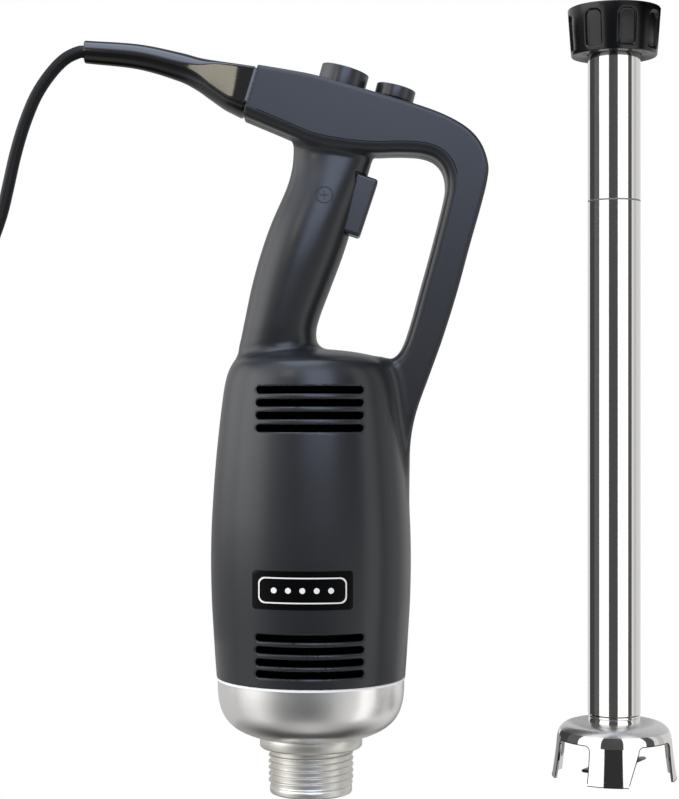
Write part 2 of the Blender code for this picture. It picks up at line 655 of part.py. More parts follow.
def blade_assembly():
    turned("drive_shaft", [(0, 372.2), (DRIVE_R, 372.2), (DRIVE_R, 8.0), (2.2, 7.4), (2.2, 2.0), (0, 1.6)],
           "polished_steel", ON_SHAFT, segments=16)
    coupling = rod("driven_coupling", (0, 0, 374), (0, 0, 384), 4.7, "polished_steel", ON_SHAFT, segments=6)
    combine(coupling, rod("coupling_foot", (0, 0, 372.5), (0, 0, 375), 5.0, None, ON_SHAFT, segments=20), 'UNION')
    nut = rod("blade_nut", (0, 0, 1.9), (0, 0, 4.3), 4.4, "polished_steel", ON_SHAFT, segments=6)
    combine(nut, rod("blade_nut_bore", (0, 0, 0), (0, 0, 6), 2.2 + GAP, None, ON_SHAFT))
    cutting_blade()


def cutting_blade():
    """A flat bar whose two halves are twisted opposite ways towards their tips."""
    half = BLADE_LENGTH / 2
    bm = bmesh.new()
    verts = add_block(bm, (-half, -5.5, -0.8), (half, 5.5, 0.8))
    edges = [e for e in bm.edges if abs(e.verts[0].co.x - e.verts[1].co.x) > half * MM]
    bmesh.ops.subdivide_edges(bm, edges=edges, cuts=8, use_grid_fill=True)
    for vert in bm.verts:
        reach = abs(vert.co.x) / MM
        twist = math.radians(22) * max(0.0, reach - 6.0) / (half - 6.0) * math.copysign(1.0, vert.co.x)
        vert.co = Matrix.Rotation(twist, 4, 'X') @ vert.co
    blade = add_object("blade", mesh_from("blade", bm), "polished_steel",
                       (*SHAFT_AXIS, BLADE_Z), (0, 0, BLADE_TURN))
    combine(blade, rod("blade_bore", (0, 0, -5), (0, 0, 5), 2.2 + GAP, None, (*SHAFT_AXIS, BLADE_Z)))


# ---------------------------------------------------------------- mains lead

def from_coil(place):
    return (COIL_AT[0] + place[0], COIL_AT[1] + place[1], place[2])


def mains_lead():
    step = 2.5 * CORD_D
    wire("power_cord", [BOOT_MOUTH] + smooth_route(CORD_ROUTE, step), CORD_D, "cord_rubber", on_motor())
    tail = [from_coil(place) for place in TAIL_ROUTE]
    wire("power_cord_tail", smooth_route(tail, step), CORD_D, "cord_rubber", on_motor())
    inner = COIL_TURN_R[0] - CORD_D / 2
    outer = COIL_TURN_R[-1] + CORD_D / 2
    top = COIL_LAYERS * CORD_D
    at = (MOTOR_AXIS[0] + COIL_AT[0], MOTOR_AXIS[1] + COIL_AT[1], 0)
    turned("cord_coil", [(outer - 1.5, top), (outer, top - 1.5), (outer, 1.5), (outer - 1.5, 0), (inner + 1.5, 0),
                         (inner, 1.5), (inner, top - 1.5), (inner + 1.5, top)], "cord_rubber", at, segments=24)


def mains_plug():
    length, width, height = PLUG_BODY
    x, y, z = from_coil(PLUG_AT)
    at = (MOTOR_AXIS[0] + x, MOTOR_AXIS[1] + y, z)
    turn = (0, 0, PLUG_TURN)
    block("plug_body", (GAP, -width / 2, -height / 2), (length, width / 2, height / 2), "black_plastic", at, turn, 4.0)
    start = length + GAP
    for name, side in (("plug_blade_live", -1), ("plug_blade_neutral", 1)):
        block(name, (start, side * 6.35 - 0.75, 0.5), (start + 17, side * 6.35 + 0.75, 6.8), "spring_steel", at, turn)
    rod("plug_ground_pin", (start, 0, -6.0), (start + 19, 0, -6.0), 2.4, "spring_steel", at, turn, segments=12)


housing_halves()
housing_screws()
badge_plate()
nose_cap()
trim_ring()
threaded_nose()
nose_seal()
motor_spindle()
armature()
commutator()
stator()
bearings()
brushes()
cooling_fan()
output_coupling()
enable_button()
speed_dial()
trigger()
control_board()
cord_entry()
outer_tube()
shaft_hub()
locking_nut()
shaft_bushings()
bell_guard()
blade_assembly()
mains_lead()
mains_plug()
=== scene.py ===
"""Looks of the stick blender: a motor unit with its loop handle and lead, and its detached blending shaft.

Lengths are in millimetres about the motor unit's axis or the shaft's axis, and become metres at MM.
"""
import json
import math
import bmesh
import bpy
import numpy as np
from mathutils import Matrix, Vector

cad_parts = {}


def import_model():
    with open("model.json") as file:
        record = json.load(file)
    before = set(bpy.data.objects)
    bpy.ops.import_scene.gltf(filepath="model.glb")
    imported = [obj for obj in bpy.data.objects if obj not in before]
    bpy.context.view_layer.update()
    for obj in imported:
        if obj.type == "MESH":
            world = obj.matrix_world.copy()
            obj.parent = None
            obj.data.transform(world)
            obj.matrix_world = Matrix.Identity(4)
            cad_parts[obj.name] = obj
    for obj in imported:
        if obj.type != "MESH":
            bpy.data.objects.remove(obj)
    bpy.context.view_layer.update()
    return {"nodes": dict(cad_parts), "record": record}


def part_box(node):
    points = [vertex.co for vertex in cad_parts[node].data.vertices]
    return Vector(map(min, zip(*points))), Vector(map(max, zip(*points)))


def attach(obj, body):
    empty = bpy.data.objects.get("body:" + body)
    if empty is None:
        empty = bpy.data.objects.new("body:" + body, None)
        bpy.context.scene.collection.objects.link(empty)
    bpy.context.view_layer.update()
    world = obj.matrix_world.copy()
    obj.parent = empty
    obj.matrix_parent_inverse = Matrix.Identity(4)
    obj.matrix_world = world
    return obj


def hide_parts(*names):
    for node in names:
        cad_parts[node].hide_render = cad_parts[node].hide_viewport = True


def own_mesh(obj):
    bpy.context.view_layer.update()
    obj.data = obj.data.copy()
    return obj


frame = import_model()
MM = 0.001


def middle_of(node):
    low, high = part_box(node)
    return (Vector(low) + Vector(high)) / 2


MOTOR = Vector((*middle_of("nose_cap").xy, 0.0))
SHAFT = Vector((*middle_of("outer_tube").xy, 0.0))

# ---------------------------------------------------------------- sizes, in millimetres

HANDLE_HALF = 14.0
SPLIT = 0.12
WALL = 2.8
HOUSING_BOTTOM = 56.4
VENT_HALF_WIDTH = 25.0
VENT_ROWS = (176.7, 182.6, 188.5, 194.5, 62.9, 68.4, 74.2, 79.9)
VENT_HALF_HEIGHT = 1.7
BARREL = [(45.4, 50), (45.8, 58), (46.4, 66), (47.2, 79), (48, 93), (48.4, 110), (48.2, 126),
          (47.5, 140), (46.4, 156), (45, 171), (43.3, 186), (41.9, 196), (40.5, 202),
          (38.4, 206.5), (35.2, 209.2), (30, 211.2), (21, 213), (10, 214.2), (0, 214.6)]
ARM_OUTER = [(-48, 355), (-36, 352.4), (-25.2, 350.2), (-11, 347.8), (3.5, 344.9), (27.7, 338.1),
             (49.4, 331.7), (64.1, 326.3), (75, 320), (81.6, 312.5), (84.9, 303), (84.5, 295),
             (81.4, 282.3), (76.1, 263.6), (70, 241), (63.1, 219), (57, 202), (50.6, 184), (47.3, 168),
             (45.9, 156), (44.2, 145), (42, 135)]
ARM_INNER = [(27, 140), (30, 200), (39.7, 209.4), (44.4, 215.2), (48.4, 226.4), (52.7, 241.9),
             (58.7, 263.6), (63.9, 284), (65.4, 293), (64.1, 300.3), (60.2, 305.2), (54, 307.7),
             (46, 308.4), (39, 308.4), (30, 308.2), (15, 309.6), (0, 312.6), (-14.1, 318.4),
             (-32.5, 326.1), (-43, 330.4), (-54, 334.9)]
SEAM_TOP, SEAM_FOOT = (-25.2, 350.2), (-32.5, 326.1)
# The grip at rising heights: left, right, half thickness.
GRIP = {186.0: (-33, 12, 12), 200.0: (-34.8, 9, 13.6), 213.0: (-35.1, 4.4, 16.2), 221.0: (-33.6, 2.6, 17),
        229.0: (-32, 4, 17.4), 244.3: (-28.8, 9.7, 17.6), 259.8: (-24.6, 15.5, 17.4),
        275.4: (-19.2, 20.4, 16.2), 290.9: (-12.4, 25.1, 13.8), 300.0: (-9.6, 28, 11.6),
        308.0: (-8.6, 30, 10), 320.0: (-8.6, 31, 9.4)}
OUTER_EDGE_R = 1.7
INNER_EDGE_R = 4.6
GROOVE_INSET = 5.0
SCREWS = ((-5, 326, 11.5), (68.5, 310.5, 11.5), (-13, 236, 13.5),
          (-36, 190, 13.5), (44, 176, 11))
SCREW_WELL_R = 3.5
BADGE = (-26.6, 20.1, 93.3, 111.2)

BUTTON_AT, BUTTON_TILT, BUTTON_R, BUTTON_TOP = (14.6, 341.9), 16, 11.7, 8.1
DIAL_AT, DIAL_TILT, DIAL_R, DIAL_TOP = (39.7, 334.5), 14.5, 9.65, 6.9
TRIGGER_AT, TRIGGER_TILT, TRIGGER_SIZE, TRIGGER_TOP = (22.7, 283.7), 108.4, (29, 16), 5.6

# The boot from the housing to the sleeve's mouth: top point, bottom point, half thickness, and the share of
# the way from the middle to the top and to the bottom over which its cheeks are flat.
BOOT = [((-26.7, 350.5), (-34, 326.5), 13.1, 0.84, 0.52), ((-32.5, 351.5), (-38.6, 328.8), 12.5, 0.82, 0.55),
        ((-37.8, 352.4), (-42.4, 330.8), 11.6, 0.80, 0.54), ((-46, 353.9), (-49, 335.4), 10, 0.68, 0.40),
        ((-54, 355.6), (-56.2, 340.4), 8.3, 0.32, 0.12), ((-63.5, 358.2), (-65.2, 344.7), 7.2, 0, 0),
        ((-83.5, 362.2), (-84.4, 350.2), 6, 0, 0), ((-109.3, 364), (-109.3, 353), 5.5, 0, 0)]

THREAD_ROOT_R, THREAD_CREST_R, THREAD_PITCH = 19.45, 20.55, 3.0
THREAD_BOTTOM, THREAD_TOP = 3.6, 20.9
NUT_TURN = 8.5

CORD_D = 6.0
BOOT_MOUTH = (-109.7, 0, 358.5)
CORD_ROUTE = [(-112.7, 0, 358.4), (-119.5, 0, 355), (-126.6, 0, 347.6),
              (-133.5, 0, 337), (-139.2, 0, 323), (-143.5, 0, 308.3), (-146.6, -0.5, 294),
              (-150, -1.5, 279), (-156, -3, 261), (-162.5, -5, 240), (-168, -7, 214),
              (-172, -8.5, 184), (-174.5, -10, 150), (-176, -11, 112), (-176.5, -11, 75),
              (-176.5, -9, 46), (-176.5, -1, 22), (-176.5, 14, 7.5), (-176.5, 32, 3.1),
              (-176.5, 49.4, 3.05)]
COIL_AT = (-215.5, 72)
COIL_TURN_R = (39, 33, 27)
TAIL_ROUTE = [(40.6, 19.2, 8.7), (38.5, 30, 8.2), (34, 43, 8.2), (28.5, 54, 9.4), (23, 64, 10.8)]
PLUG_AT = (22.8, 64.4, 11)
PLUG_TURN = 118.0


# ---------------------------------------------------------------- materials

def add_node(tree, kind, values=None, feeds=None):
    """A new shader node, with the values of its inputs and the outputs that feed them."""
    node = tree.nodes.new("ShaderNode" + kind)
    for name, value in (values or {}).items():
        node.inputs[name].default_value = value
    for name, output in (feeds or {}).items():
        tree.links.new(output, node.inputs[name])
    return node


def rgba(colour):
    """A colour with its alpha, from three parts or from one level of grey."""
    return (*(colour if isinstance(colour, tuple) else (colour,) * 3), 1.0)


def make_material(name, colour, roughness, metallic=0.0, grain=0.0, grain_scale=900.0, mottle=0.0,
                  specular=0.5):
    """A surface with an even colour, a fine grain in its relief and a slight unevenness in its gloss."""
    made = bpy.data.materials.new(name)
    made.use_nodes = True
    tree = made.node_tree
    shader = tree.nodes["Principled BSDF"]
    shader.inputs["Base Color"].default_value = rgba(colour)
    shader.inputs["Roughness"].default_value = roughness
    shader.inputs["Metallic"].default_value = metallic
    shader.inputs["Specular IOR Level"].default_value = specular
    place = add_node(tree, "TexCoord").outputs["Object"]
    if grain:
        noise = add_node(tree, "TexNoise", {"Scale": grain_scale, "Detail": 2.0}, {"Vector": place})
        bump = add_node(tree, "Bump", {"Strength": grain, "Distance": 0.0002},
                        {"Height": noise.outputs["Fac"]})
        tree.links.new(bump.outputs["Normal"], shader.inputs["Normal"])
    if mottle:
        cloud = add_node(tree, "TexNoise", {"Scale": 45.0, "Detail": 4.0}, {"Vector": place})
        spread = add_node(tree, "MapRange", {"To Min": roughness - mottle, "To Max": roughness + mottle},
                          {"Value": cloud.outputs["Fac"]})
        tree.links.new(spread.outputs["Result"], shader.inputs["Roughness"])
    return made


# Each look: its colour or level of grey, its roughness, and what else sets it apart.
FINISHES = {
    "housing": ((0.016, 0.017, 0.020), 0.29, {"grain": 0.06, "mottle": 0.03, "specular": 0.42}),
    "button": ((0.022, 0.024, 0.030), 0.28, {"grain": 0.05}),
    "black_plastic": ((0.010, 0.010, 0.011), 0.32, {"grain": 0.05}),
    "boot": ((0.0015, 0.0015, 0.0018), 0.10, {"specular": 0.7}),
    "badge": (0.0015, 0.25, {"specular": 0.1}),
    "mark": (0.86, 0.4, {}),
    "engraving": ((0.012, 0.013, 0.017), 0.5, {}),
    "nut": (0.0006, 0.22, {"grain": 0.04, "specular": 0.45}),
    "cord_rubber": ((0.0035, 0.0035, 0.0033), 0.45, {"grain": 0.15, "grain_scale": 500.0, "specular": 0.22}),
    "aluminium": ((0.90, 0.89, 0.87), 0.29, {"metallic": 1.0, "grain": 0.03, "mottle": 0.03}),
    "cast_aluminium": ((0.78, 0.76, 0.71), 0.38, {"metallic": 1.0, "grain": 0.02}),
    "trim": (0.90, 0.30, {}),
    "polished_steel": ((0.80, 0.79, 0.78), 0.055, {"metallic": 1.0, "mottle": 0.012}),
    # Far darker than the blade's real steel: painted shade and dark reflection inside the bell.
    "blade_steel": (0.12, 0.22, {"metallic": 1.0}),
    "satin_steel": ((0.60, 0.595, 0.59), 0.30, {"metallic": 1.0, "grain": 0.10, "mottle": 0.05}),
    # Near-black: painted shade along the bell's window and foot edges.
    "painted_edge_shade": (0.03, 0.35, {"metallic": 1.0}),
    "etching": (0.22, 0.5, {"metallic": 0.6}),
    "spring_steel": (0.55, 0.25, {"metallic": 1.0}),
    "copper": ((0.50, 0.23, 0.11), 0.35, {"metallic": 1.0}),
    "iron": ((0.12, 0.12, 0.125), 0.5, {"metallic": 1.0}),
    "carbon": (0.03, 0.7, {}),
    "bronze": ((0.42, 0.30, 0.15), 0.4, {"metallic": 1.0}),
    "board": ((0.02, 0.12, 0.05), 0.45, {}),
    "nylon": (0.05, 0.5, {}),
    # Near-black and without gloss: painted shade that fills the vents.
    "painted_vent_shade": (0.0004, 0.9, {"specular": 0.0}),
}
LOOKS = {name: make_material(name, colour, roughness, **more)
         for name, (colour, roughness, more) in FINISHES.items()}


# ---------------------------------------------------------------- making and placing pieces

def finish_piece(obj, look, body, stands_for=()):
    obj.data.materials.clear()
    obj.data.materials.append(LOOKS[look])
    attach(obj, body)
    if stands_for:
        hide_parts(*stands_for)
    return obj


def object_from(name, mesh, at=(0, 0, 0), turn=(0, 0, 0)):
    obj = bpy.data.objects.new(name, mesh)
    bpy.context.scene.collection.objects.link(obj)
    obj.location = at
    obj.rotation_euler = [math.radians(angle) for angle in turn]
    return obj


def on_motor(x=0.0, z=0.0):
    return MOTOR + Vector((x, 0, z)) * MM


def mesh_of(name, points, faces, sharp=30.0):
    """A smooth-shaded mesh, with edges kept sharp beyond that angle."""
    mesh = bpy.data.meshes.new(name)
    mesh.from_pydata([tuple(p) for p in points], [], faces)
    bm = bmesh.new()
    bm.from_mesh(mesh)
    bmesh.ops.recalc_face_normals(bm, faces=bm.faces)
    bm.to_mesh(mesh)
    bm.free()
    mesh.shade_smooth()
    mesh.set_sharp_from_angle(angle=math.radians(sharp))
    return mesh


def smooth_curve(points, per_span=8, closed=False):
    """Points on a smooth curve through the given ones."""
    points = [np.asarray(p, float) for p in points]
    if closed:
        padded = [points[-1]] + points + points[:2]
    else:
        padded = [2 * points[0] - points[1]] + points + [2 * points[-1] - points[-2]]
    made = []
    for a, b, c, d in zip(padded, padded[1:], padded[2:], padded[3:]):
        for i in range(per_span):
            t = i / per_span
            made.append(0.5 * (2 * b + (c - a) * t + (2 * a - 5 * b + 4 * c - d) * t ** 2
                               + (3 * b - a - 3 * c + d) * t ** 3))
    if not closed:
        made.append(points[-1])
    return np.array(made)


def circle(count):
    return [2 * math.pi * i / count for i in range(count)]


def loft(rows, count, ring=False, caps=False):
    """Faces round rows of count points each; a ring goes on from the last row to the first."""
    faces = []
    for row in range(rows if ring else rows - 1):
        a, b = row * count, (row + 1) % rows * count
        for i in range(count):
            j = (i + 1) % count
            faces.append((a + i, a + j, b + j, b + i))
    if caps:
        faces += [tuple(range(count)), tuple(range((rows - 1) * count, rows * count))]
    return faces


def turned_mesh(name, profile, segments=128, sharp=30.0):
    """A solid of revolution about Z. The profile is a list of (radius, height); on the axis it closes."""
    points, rings = [], []
    for r, z in profile:
        turn = circle(segments) if r > 1e-6 else [0.0]
        rings.append(range(len(points), len(points) + len(turn)))
        points += [(r * math.cos(angle) * MM, r * math.sin(angle) * MM, z * MM) for angle in turn]
    pairs = list(zip(rings, rings[1:]))
    if len(rings[0]) > 1 and len(rings[-1]) > 1:
        pairs.append((rings[-1], rings[0]))
    faces = []
    for upper, lower in pairs:
        for i in range(segments):
            u, v = i % len(upper), (i + 1) % segments % len(upper)
            p, q = i % len(lower), (i + 1) % segments % len(lower)
            corners = list(dict.fromkeys((upper[u], lower[p], lower[q], upper[v])))
            if len(corners) > 2:
                faces.append(corners)
    return mesh_of(name, points, faces, sharp)


def turned_piece(name, profile, segments, at, look, body, stands_for=(), turn=(0, 0, 0)):
    obj = object_from(name, turned_mesh(name, profile, segments), at, turn)
    return finish_piece(obj, look, body, stands_for)


def ridged_mesh(name, rows, segments, sharp):
    """A turned ring. A row is a radius, or a function of angle and height that gives it, and a height."""
    points = []
    for radius, z in rows:
        for angle in circle(segments):
            r = radius(angle, z) if callable(radius) else radius
            points.append((r * math.cos(angle) * MM, r * math.sin(angle) * MM, z * MM))
    return mesh_of(name, points, loft(len(rows), segments, ring=True), sharp)


def mesh_from(name, bm):
    mesh = bpy.data.meshes.new(name)
    bm.to_mesh(mesh)
    bm.free()
    return mesh


def box_mesh(name, size, centre=(0, 0, 0), turns=(0,)):
    """A box, or the same box turned to several angles about Z."""
    bm = bmesh.new()
    for turn in turns:
        place = Matrix.Rotation(math.radians(turn), 4, 'Z') @ Matrix.Translation(Vector(centre) * MM)
        bmesh.ops.create_cube(bm, size=1.0, matrix=place @ Matrix.Diagonal((*(Vector(size) * MM), 1.0)))
    return mesh_from(name, bm)


def prism(name, at, radius, low, high, sides):
    bm = bmesh.new()
    bmesh.ops.create_cone(bm, cap_ends=True, segments=sides, radius1=radius * MM, radius2=radius * MM,
                          depth=(high - low) * MM, matrix=Matrix.Translation((0, 0, (low + high) / 2 * MM)))
    return object_from(name, mesh_from(name, bm), at)


def round_edges(obj, width, segments):
    bevel = obj.modifiers.new("Round", 'BEVEL')
    bevel.width = width * MM
    bevel.segments = segments
    return bevel


def tube_along(name, places, width, resolution=3):
    """A round tube through places given from the motor's foot."""
    curve = bpy.data.curves.new(name, 'CURVE')
    curve.dimensions = '3D'
    curve.bevel_depth = width / 2 * MM
    curve.bevel_resolution = resolution
    curve.use_fill_caps = True
    spline = curve.splines.new('POLY')
    spline.points.add(len(places) - 1)
    for point, place in zip(spline.points, places):
        point.co = (*(Vector(place) * MM), 1.0)
    return object_from(name, curve, MOTOR)


def rounded(profile, radius, steps=5):
    """The profile with every corner that is given as (r, z, radius) or by default turned into an arc."""
    made = []
    count = len(profile)
    for i, corner in enumerate(profile):
        here = np.array(corner[:2], float)
        r = corner[2] if len(corner) > 2 else radius
        if i in (0, count - 1) or r <= 0:
            made.append(tuple(here))
            continue
        before = np.array(profile[i - 1][:2], float) - here
        after = np.array(profile[i + 1][:2], float) - here
        long_b, long_a = np.linalg.norm(before), np.linalg.norm(after)
        cut = min(r, long_b * 0.45, long_a * 0.45)
        start, end = here + before / long_b * cut, here + after / long_a * cut
        for k in range(steps + 1):
            t = k / steps
            made.append(tuple((1 - t) ** 2 * start + 2 * t * (1 - t) * here + t ** 2 * end))
    return made


# ---------------------------------------------------------------- shapes from distance fields

class Outline:
    """Signed distance to a closed outline in a plane, read from a grid: negative inside."""

    def __init__(self, points, cell=0.5, margin=12.0):
        points = np.asarray(points, float)
        self.cell = cell
        self.low = points.min(axis=0) - margin
        size = points.max(axis=0) + margin - self.low
        self.shape = (np.ceil(size / cell).astype(int) + 1)
        u = self.low[0] + cell * np.arange(self.shape[0])[:, None]
        v = self.low[1] + cell * np.arange(self.shape[1])[None, :]
        nearest = np.full(tuple(self.shape), 1e9)
        inside = np.zeros(tuple(self.shape), bool)
        for (ax, ay), (bx, by) in zip(points, np.roll(points, -1, axis=0)):
            ex, ey = bx - ax, by - ay
            length = ex * ex + ey * ey
            if length < 1e-12:
                continue
            t = np.clip(((u - ax) * ex + (v - ay) * ey) / length, 0, 1)
            nearest = np.minimum(nearest, (u - ax - t * ex) ** 2 + (v - ay - t * ey) ** 2)
            if ay != by:
                crosses = ((ay > v) != (by > v)) & (u < ex * (v - ay) / ey + ax)
                inside ^= crosses
        self.values = np.where(inside, -1, 1) * np.sqrt(nearest)

    def __call__(self, u, v):
        a = np.clip((u - self.low[0]) / self.cell, 0, self.shape[0] - 1.001)
        b = np.clip((v - self.low[1]) / self.cell, 0, self.shape[1] - 1.001)
        i, j = a.astype(int), b.astype(int)
        a, b = a - i, b - j
        grid = self.values
        return ((grid[i, j] * (1 - a) + grid[i + 1, j] * a) * (1 - b)
                + (grid[i, j + 1] * (1 - a) + grid[i + 1, j + 1] * a) * b)


def smooth_min(a, b, reach):
    h = np.clip(0.5 + 0.5 * (b - a) / reach, 0, 1)
    return b + (a - b) * h - reach * h * (1 - h)


def smooth_max(a, b, reach):
    return -smooth_min(-a, -b, reach)


def slab(distance, depth, radius):
    """Distance to a flat shape with thickness, its edges rounded by a radius that may vary."""
    p, q = distance + radius, depth + radius
    return np.minimum(np.maximum(p, q), 0) + np.hypot(np.maximum(p, 0), np.maximum(q, 0)) - radius


def tilted(x, z, at, tilt):
    """(across, along) a leaning axis, from a place in the middle plane."""
    sine, cosine = math.sin(math.radians(tilt)), math.cos(math.radians(tilt))
    dx, dz = x - at[0], z - at[1]
    return dx * cosine - dz * sine, dx * sine + dz * cosine


CELL_EDGES = [((0, 0, 0), (1, 0, 0)), ((0, 1, 0), (1, 1, 0)), ((0, 0, 1), (1, 0, 1)), ((0, 1, 1), (1, 1, 1)),
              ((0, 0, 0), (0, 1, 0)), ((1, 0, 0), (1, 1, 0)), ((0, 0, 1), (0, 1, 1)), ((1, 0, 1), (1, 1, 1)),
              ((0, 0, 0), (0, 0, 1)), ((1, 0, 0), (1, 0, 1)), ((0, 1, 0), (0, 1, 1)), ((1, 1, 0), (1, 1, 1))]


def level_surface(low, high, cell, field, settle=3):
    """The surface where field(x, y, z) is zero: one point in each cell it crosses, then moved onto it."""
    axes = [np.arange(a, b + cell, cell) for a, b in zip(low, high)]
    y, z = np.meshgrid(axes[1], axes[2], indexing="ij")
    values = np.stack([field(np.full_like(y, x), y, z) for x in axes[0]]).astype(np.float32)
    inside = values < 0
    corner_sum = np.zeros(tuple(n - 1 for n in values.shape), np.int8)
    for corner in np.ndindex(2, 2, 2):
        corner_sum += inside[tuple(slice(i, n - 1 + i) for i, n in zip(corner, values.shape))]
    mixed = (corner_sum > 0) & (corner_sum < 8)
    cells = np.argwhere(mixed)
    number = np.full(mixed.shape, -1, np.int64)
    number[tuple(cells.T)] = np.arange(len(cells))
    total = np.zeros((len(cells), 3))
    hits = np.zeros(len(cells))
    for start, end in CELL_EDGES:
        a = values[tuple((cells + start).T)]
        b = values[tuple((cells + end).T)]
        crossed = (a < 0) != (b < 0)
        share = np.where(crossed, a / np.where(crossed, a - b, 1), 0)[:, None]
        place = np.array(start) + share * (np.array(end) - np.array(start))
        total += np.where(crossed[:, None], place, 0)
        hits += crossed
    points = np.array(low) + cell * (cells + total / hits[:, None])
    points = settle_points(points, field, cell, settle)
    faces = []
    for axis in range(3):
        ahead = [slice(1, -1)] * 3
        ahead[axis] = slice(1, None)
        behind = [slice(1, -1)] * 3
        behind[axis] = slice(None, -1)
        a, b = inside[tuple(behind)], inside[tuple(ahead)]
        spots = np.argwhere(a != b)
        entering = a[tuple(spots.T)]
        offset = np.ones(3, int)
        offset[axis] = 0
        spots = spots + offset
        u, v = [(1, 2), (2, 0), (0, 1)][axis]
        step_u, step_v = np.eye(3, dtype=int)[u], np.eye(3, dtype=int)[v]
        ring = [number[tuple((spots - s).T)] for s in (step_u * 0, step_u, step_u + step_v, step_v)]
        quads = np.stack(ring, axis=1)
        quads[~entering] = quads[~entering][:, ::-1]
        faces.append(quads)
    return points, np.concatenate(faces)


def settle_points(points, field, cell, rounds):
    """Newton steps along the field's slope, each at most half a cell."""
    tiny = 0.02
    for _ in range(rounds):
        x, y, z = points.T
        value = field(x, y, z)
        slope = np.stack([field(x + tiny, y, z) - field(x - tiny, y, z),
                          field(x, y + tiny, z) - field(x, y - tiny, z),
                          field(x, y, z + tiny) - field(x, y, z - tiny)], axis=1) / (2 * tiny)
        steep = np.maximum((slope ** 2).sum(axis=1), 0.25)
        step = -(value / steep)[:, None] * slope
        long = np.linalg.norm(step, axis=1, keepdims=True)
        points = points + step * np.minimum(1, 0.5 * cell / np.maximum(long, 1e-9))
    return points


def field_mesh(name, points, faces, sharp=50.0):
    mesh = bpy.data.meshes.new(name)
    mesh.vertices.add(len(points))
    mesh.vertices.foreach_set("co", (points * MM).astype(np.float32).ravel())
    mesh.loops.add(faces.size)
    mesh.loops.foreach_set("vertex_index", faces.astype(np.int32).ravel())
    mesh.polygons.add(len(faces))
    mesh.polygons.foreach_set("loop_start", np.arange(0, faces.size, 4, dtype=np.int32))
    mesh.polygons.foreach_set("loop_total", np.full(len(faces), 4, np.int32))
    mesh.update(calc_edges=True)
    mesh.shade_smooth()
    mesh.set_sharp_from_angle(angle=math.radians(sharp))
    return mesh


# ---------------------------------------------------------------- housing

class Housing:
    """The outside of the motor housing as one distance field."""

    def __init__(self):
        right = smooth_curve(BARREL, 5)
        left = right[::-1] * (-1, 1)
        self.barrel = Outline(np.concatenate([right, left[1:]]))
        outer, inner = smooth_curve(ARM_OUTER, 6), smooth_curve(ARM_INNER, 6)
        lean = np.array(SEAM_TOP) - SEAM_FOOT
        self.seam_normal = np.array((-lean[1], lean[0])) / np.linalg.norm(lean)
        self.arm = Outline(np.concatenate([outer, inner]))
        self.outer_edge = Outline(self.ribbon(outer))
        self.inner_edge = Outline(self.ribbon(inner))
        heights = np.array(list(GRIP))
        rows = smooth_curve(np.column_stack([heights, np.array(list(GRIP.values()))]), 8)
        self.grip_rows = rows.T

    @staticmethod
    def ribbon(line):
        """A closed sliver along an open line, so that its outline's distance is the line's."""
        return np.concatenate([line, line[::-1] + 1e-4])

    def grip(self, x, y, z):
        heights, left, right, thick = self.grip_rows
        a = np.interp(z, heights, left)
        b = np.interp(z, heights, right)
        half_x, half_y = (b - a) / 2, np.interp(z, heights, thick)
        u, v = (x - (a + b) / 2) / half_x, y / half_y
        ratio = np.sqrt(u * u + v * v) + 1e-9
        slope = np.sqrt((u / half_x) ** 2 + (v / half_y) ** 2) / ratio + 1e-9
        sides = (ratio - 1) / slope
        return np.maximum(sides, np.maximum(heights[0] - z, z - heights[-1]))

    def arm_body(self, x, y, z):
        flat = self.arm(x, z)
        near_outer, near_inner = np.abs(self.outer_edge(x, z)), np.abs(self.inner_edge(x, z))
        share = np.clip((near_inner - near_outer) / 3.0 + 0.5, 0, 1)
        radius = INNER_EDGE_R + (OUTER_EDGE_R - INNER_EDGE_R) * share
        foot = np.clip((186.0 - z) / 34.0, 0, 1)
        body = slab(flat, np.abs(y) - HANDLE_HALF + 6.5 * foot * foot, radius)
        past_seam = (x - SEAM_TOP[0]) * self.seam_normal[0] + (z - SEAM_TOP[1]) * self.seam_normal[1]
        return smooth_max(body, past_seam, 0.5)

    def outside(self, x, y, z):
        barrel = self.barrel(np.hypot(x, y), z)
        grip = self.grip(x, y, z)
        arm = self.arm_body(x, y, z)
        body = smooth_min(barrel, grip, 5.0)
        low = np.clip((260 - z) / 30, 0, 1)
        return smooth_min(body, arm, 4.0 + 2.5 * low)

    def shell(self, x, y, z):
        """The wall, with the vents and the wells of the controls cut through it."""
        body = self.outside(x, y, z)
        body = np.maximum(body, -(self.barrel(np.hypot(x, y), z) + WALL))
        body = np.maximum(body, HOUSING_BOTTOM - z)
        for height in VENT_ROWS:
            slot = np.hypot(np.maximum(np.abs(x) - VENT_HALF_WIDTH + VENT_HALF_HEIGHT, 0), z - height)
            body = smooth_max(body, VENT_HALF_HEIGHT - slot, 0.7)
        for at, tilt, radius, depth, reach in ((BUTTON_AT, BUTTON_TILT, BUTTON_R + 0.4, 16.0, 0.9),
                                               (DIAL_AT, DIAL_TILT, 3.6, 9.0, 0.4)):
            across, along = tilted(x, z, at, tilt)
            well = np.maximum(np.hypot(across, y) - radius, -depth - along)
            body = smooth_max(body, -well, reach)
        across, along = tilted(x, z, TRIGGER_AT, TRIGGER_TILT)
        sides = np.maximum(np.abs(across) - TRIGGER_SIZE[0] / 2 - 0.4, np.abs(y) - TRIGGER_SIZE[1] / 2 - 0.4)
        ends = np.maximum(-11.0 - along, along - 14.0)
        return smooth_max(body, -np.maximum(sides, ends), 0.6)

    def front(self, x, y, z):
        return smooth_max(self.shell(x, y, z), y + SPLIT, 0.5)

    def rear(self, x, y, z):
        body = self.shell(x, y, z)
        for sx, sz, seat in SCREWS:
            well = np.maximum(np.hypot(x - sx, z - sz) - SCREW_WELL_R, seat - y)
            body = smooth_max(body, -well, 0.6)
        return smooth_max(body, SPLIT - y, 0.5)


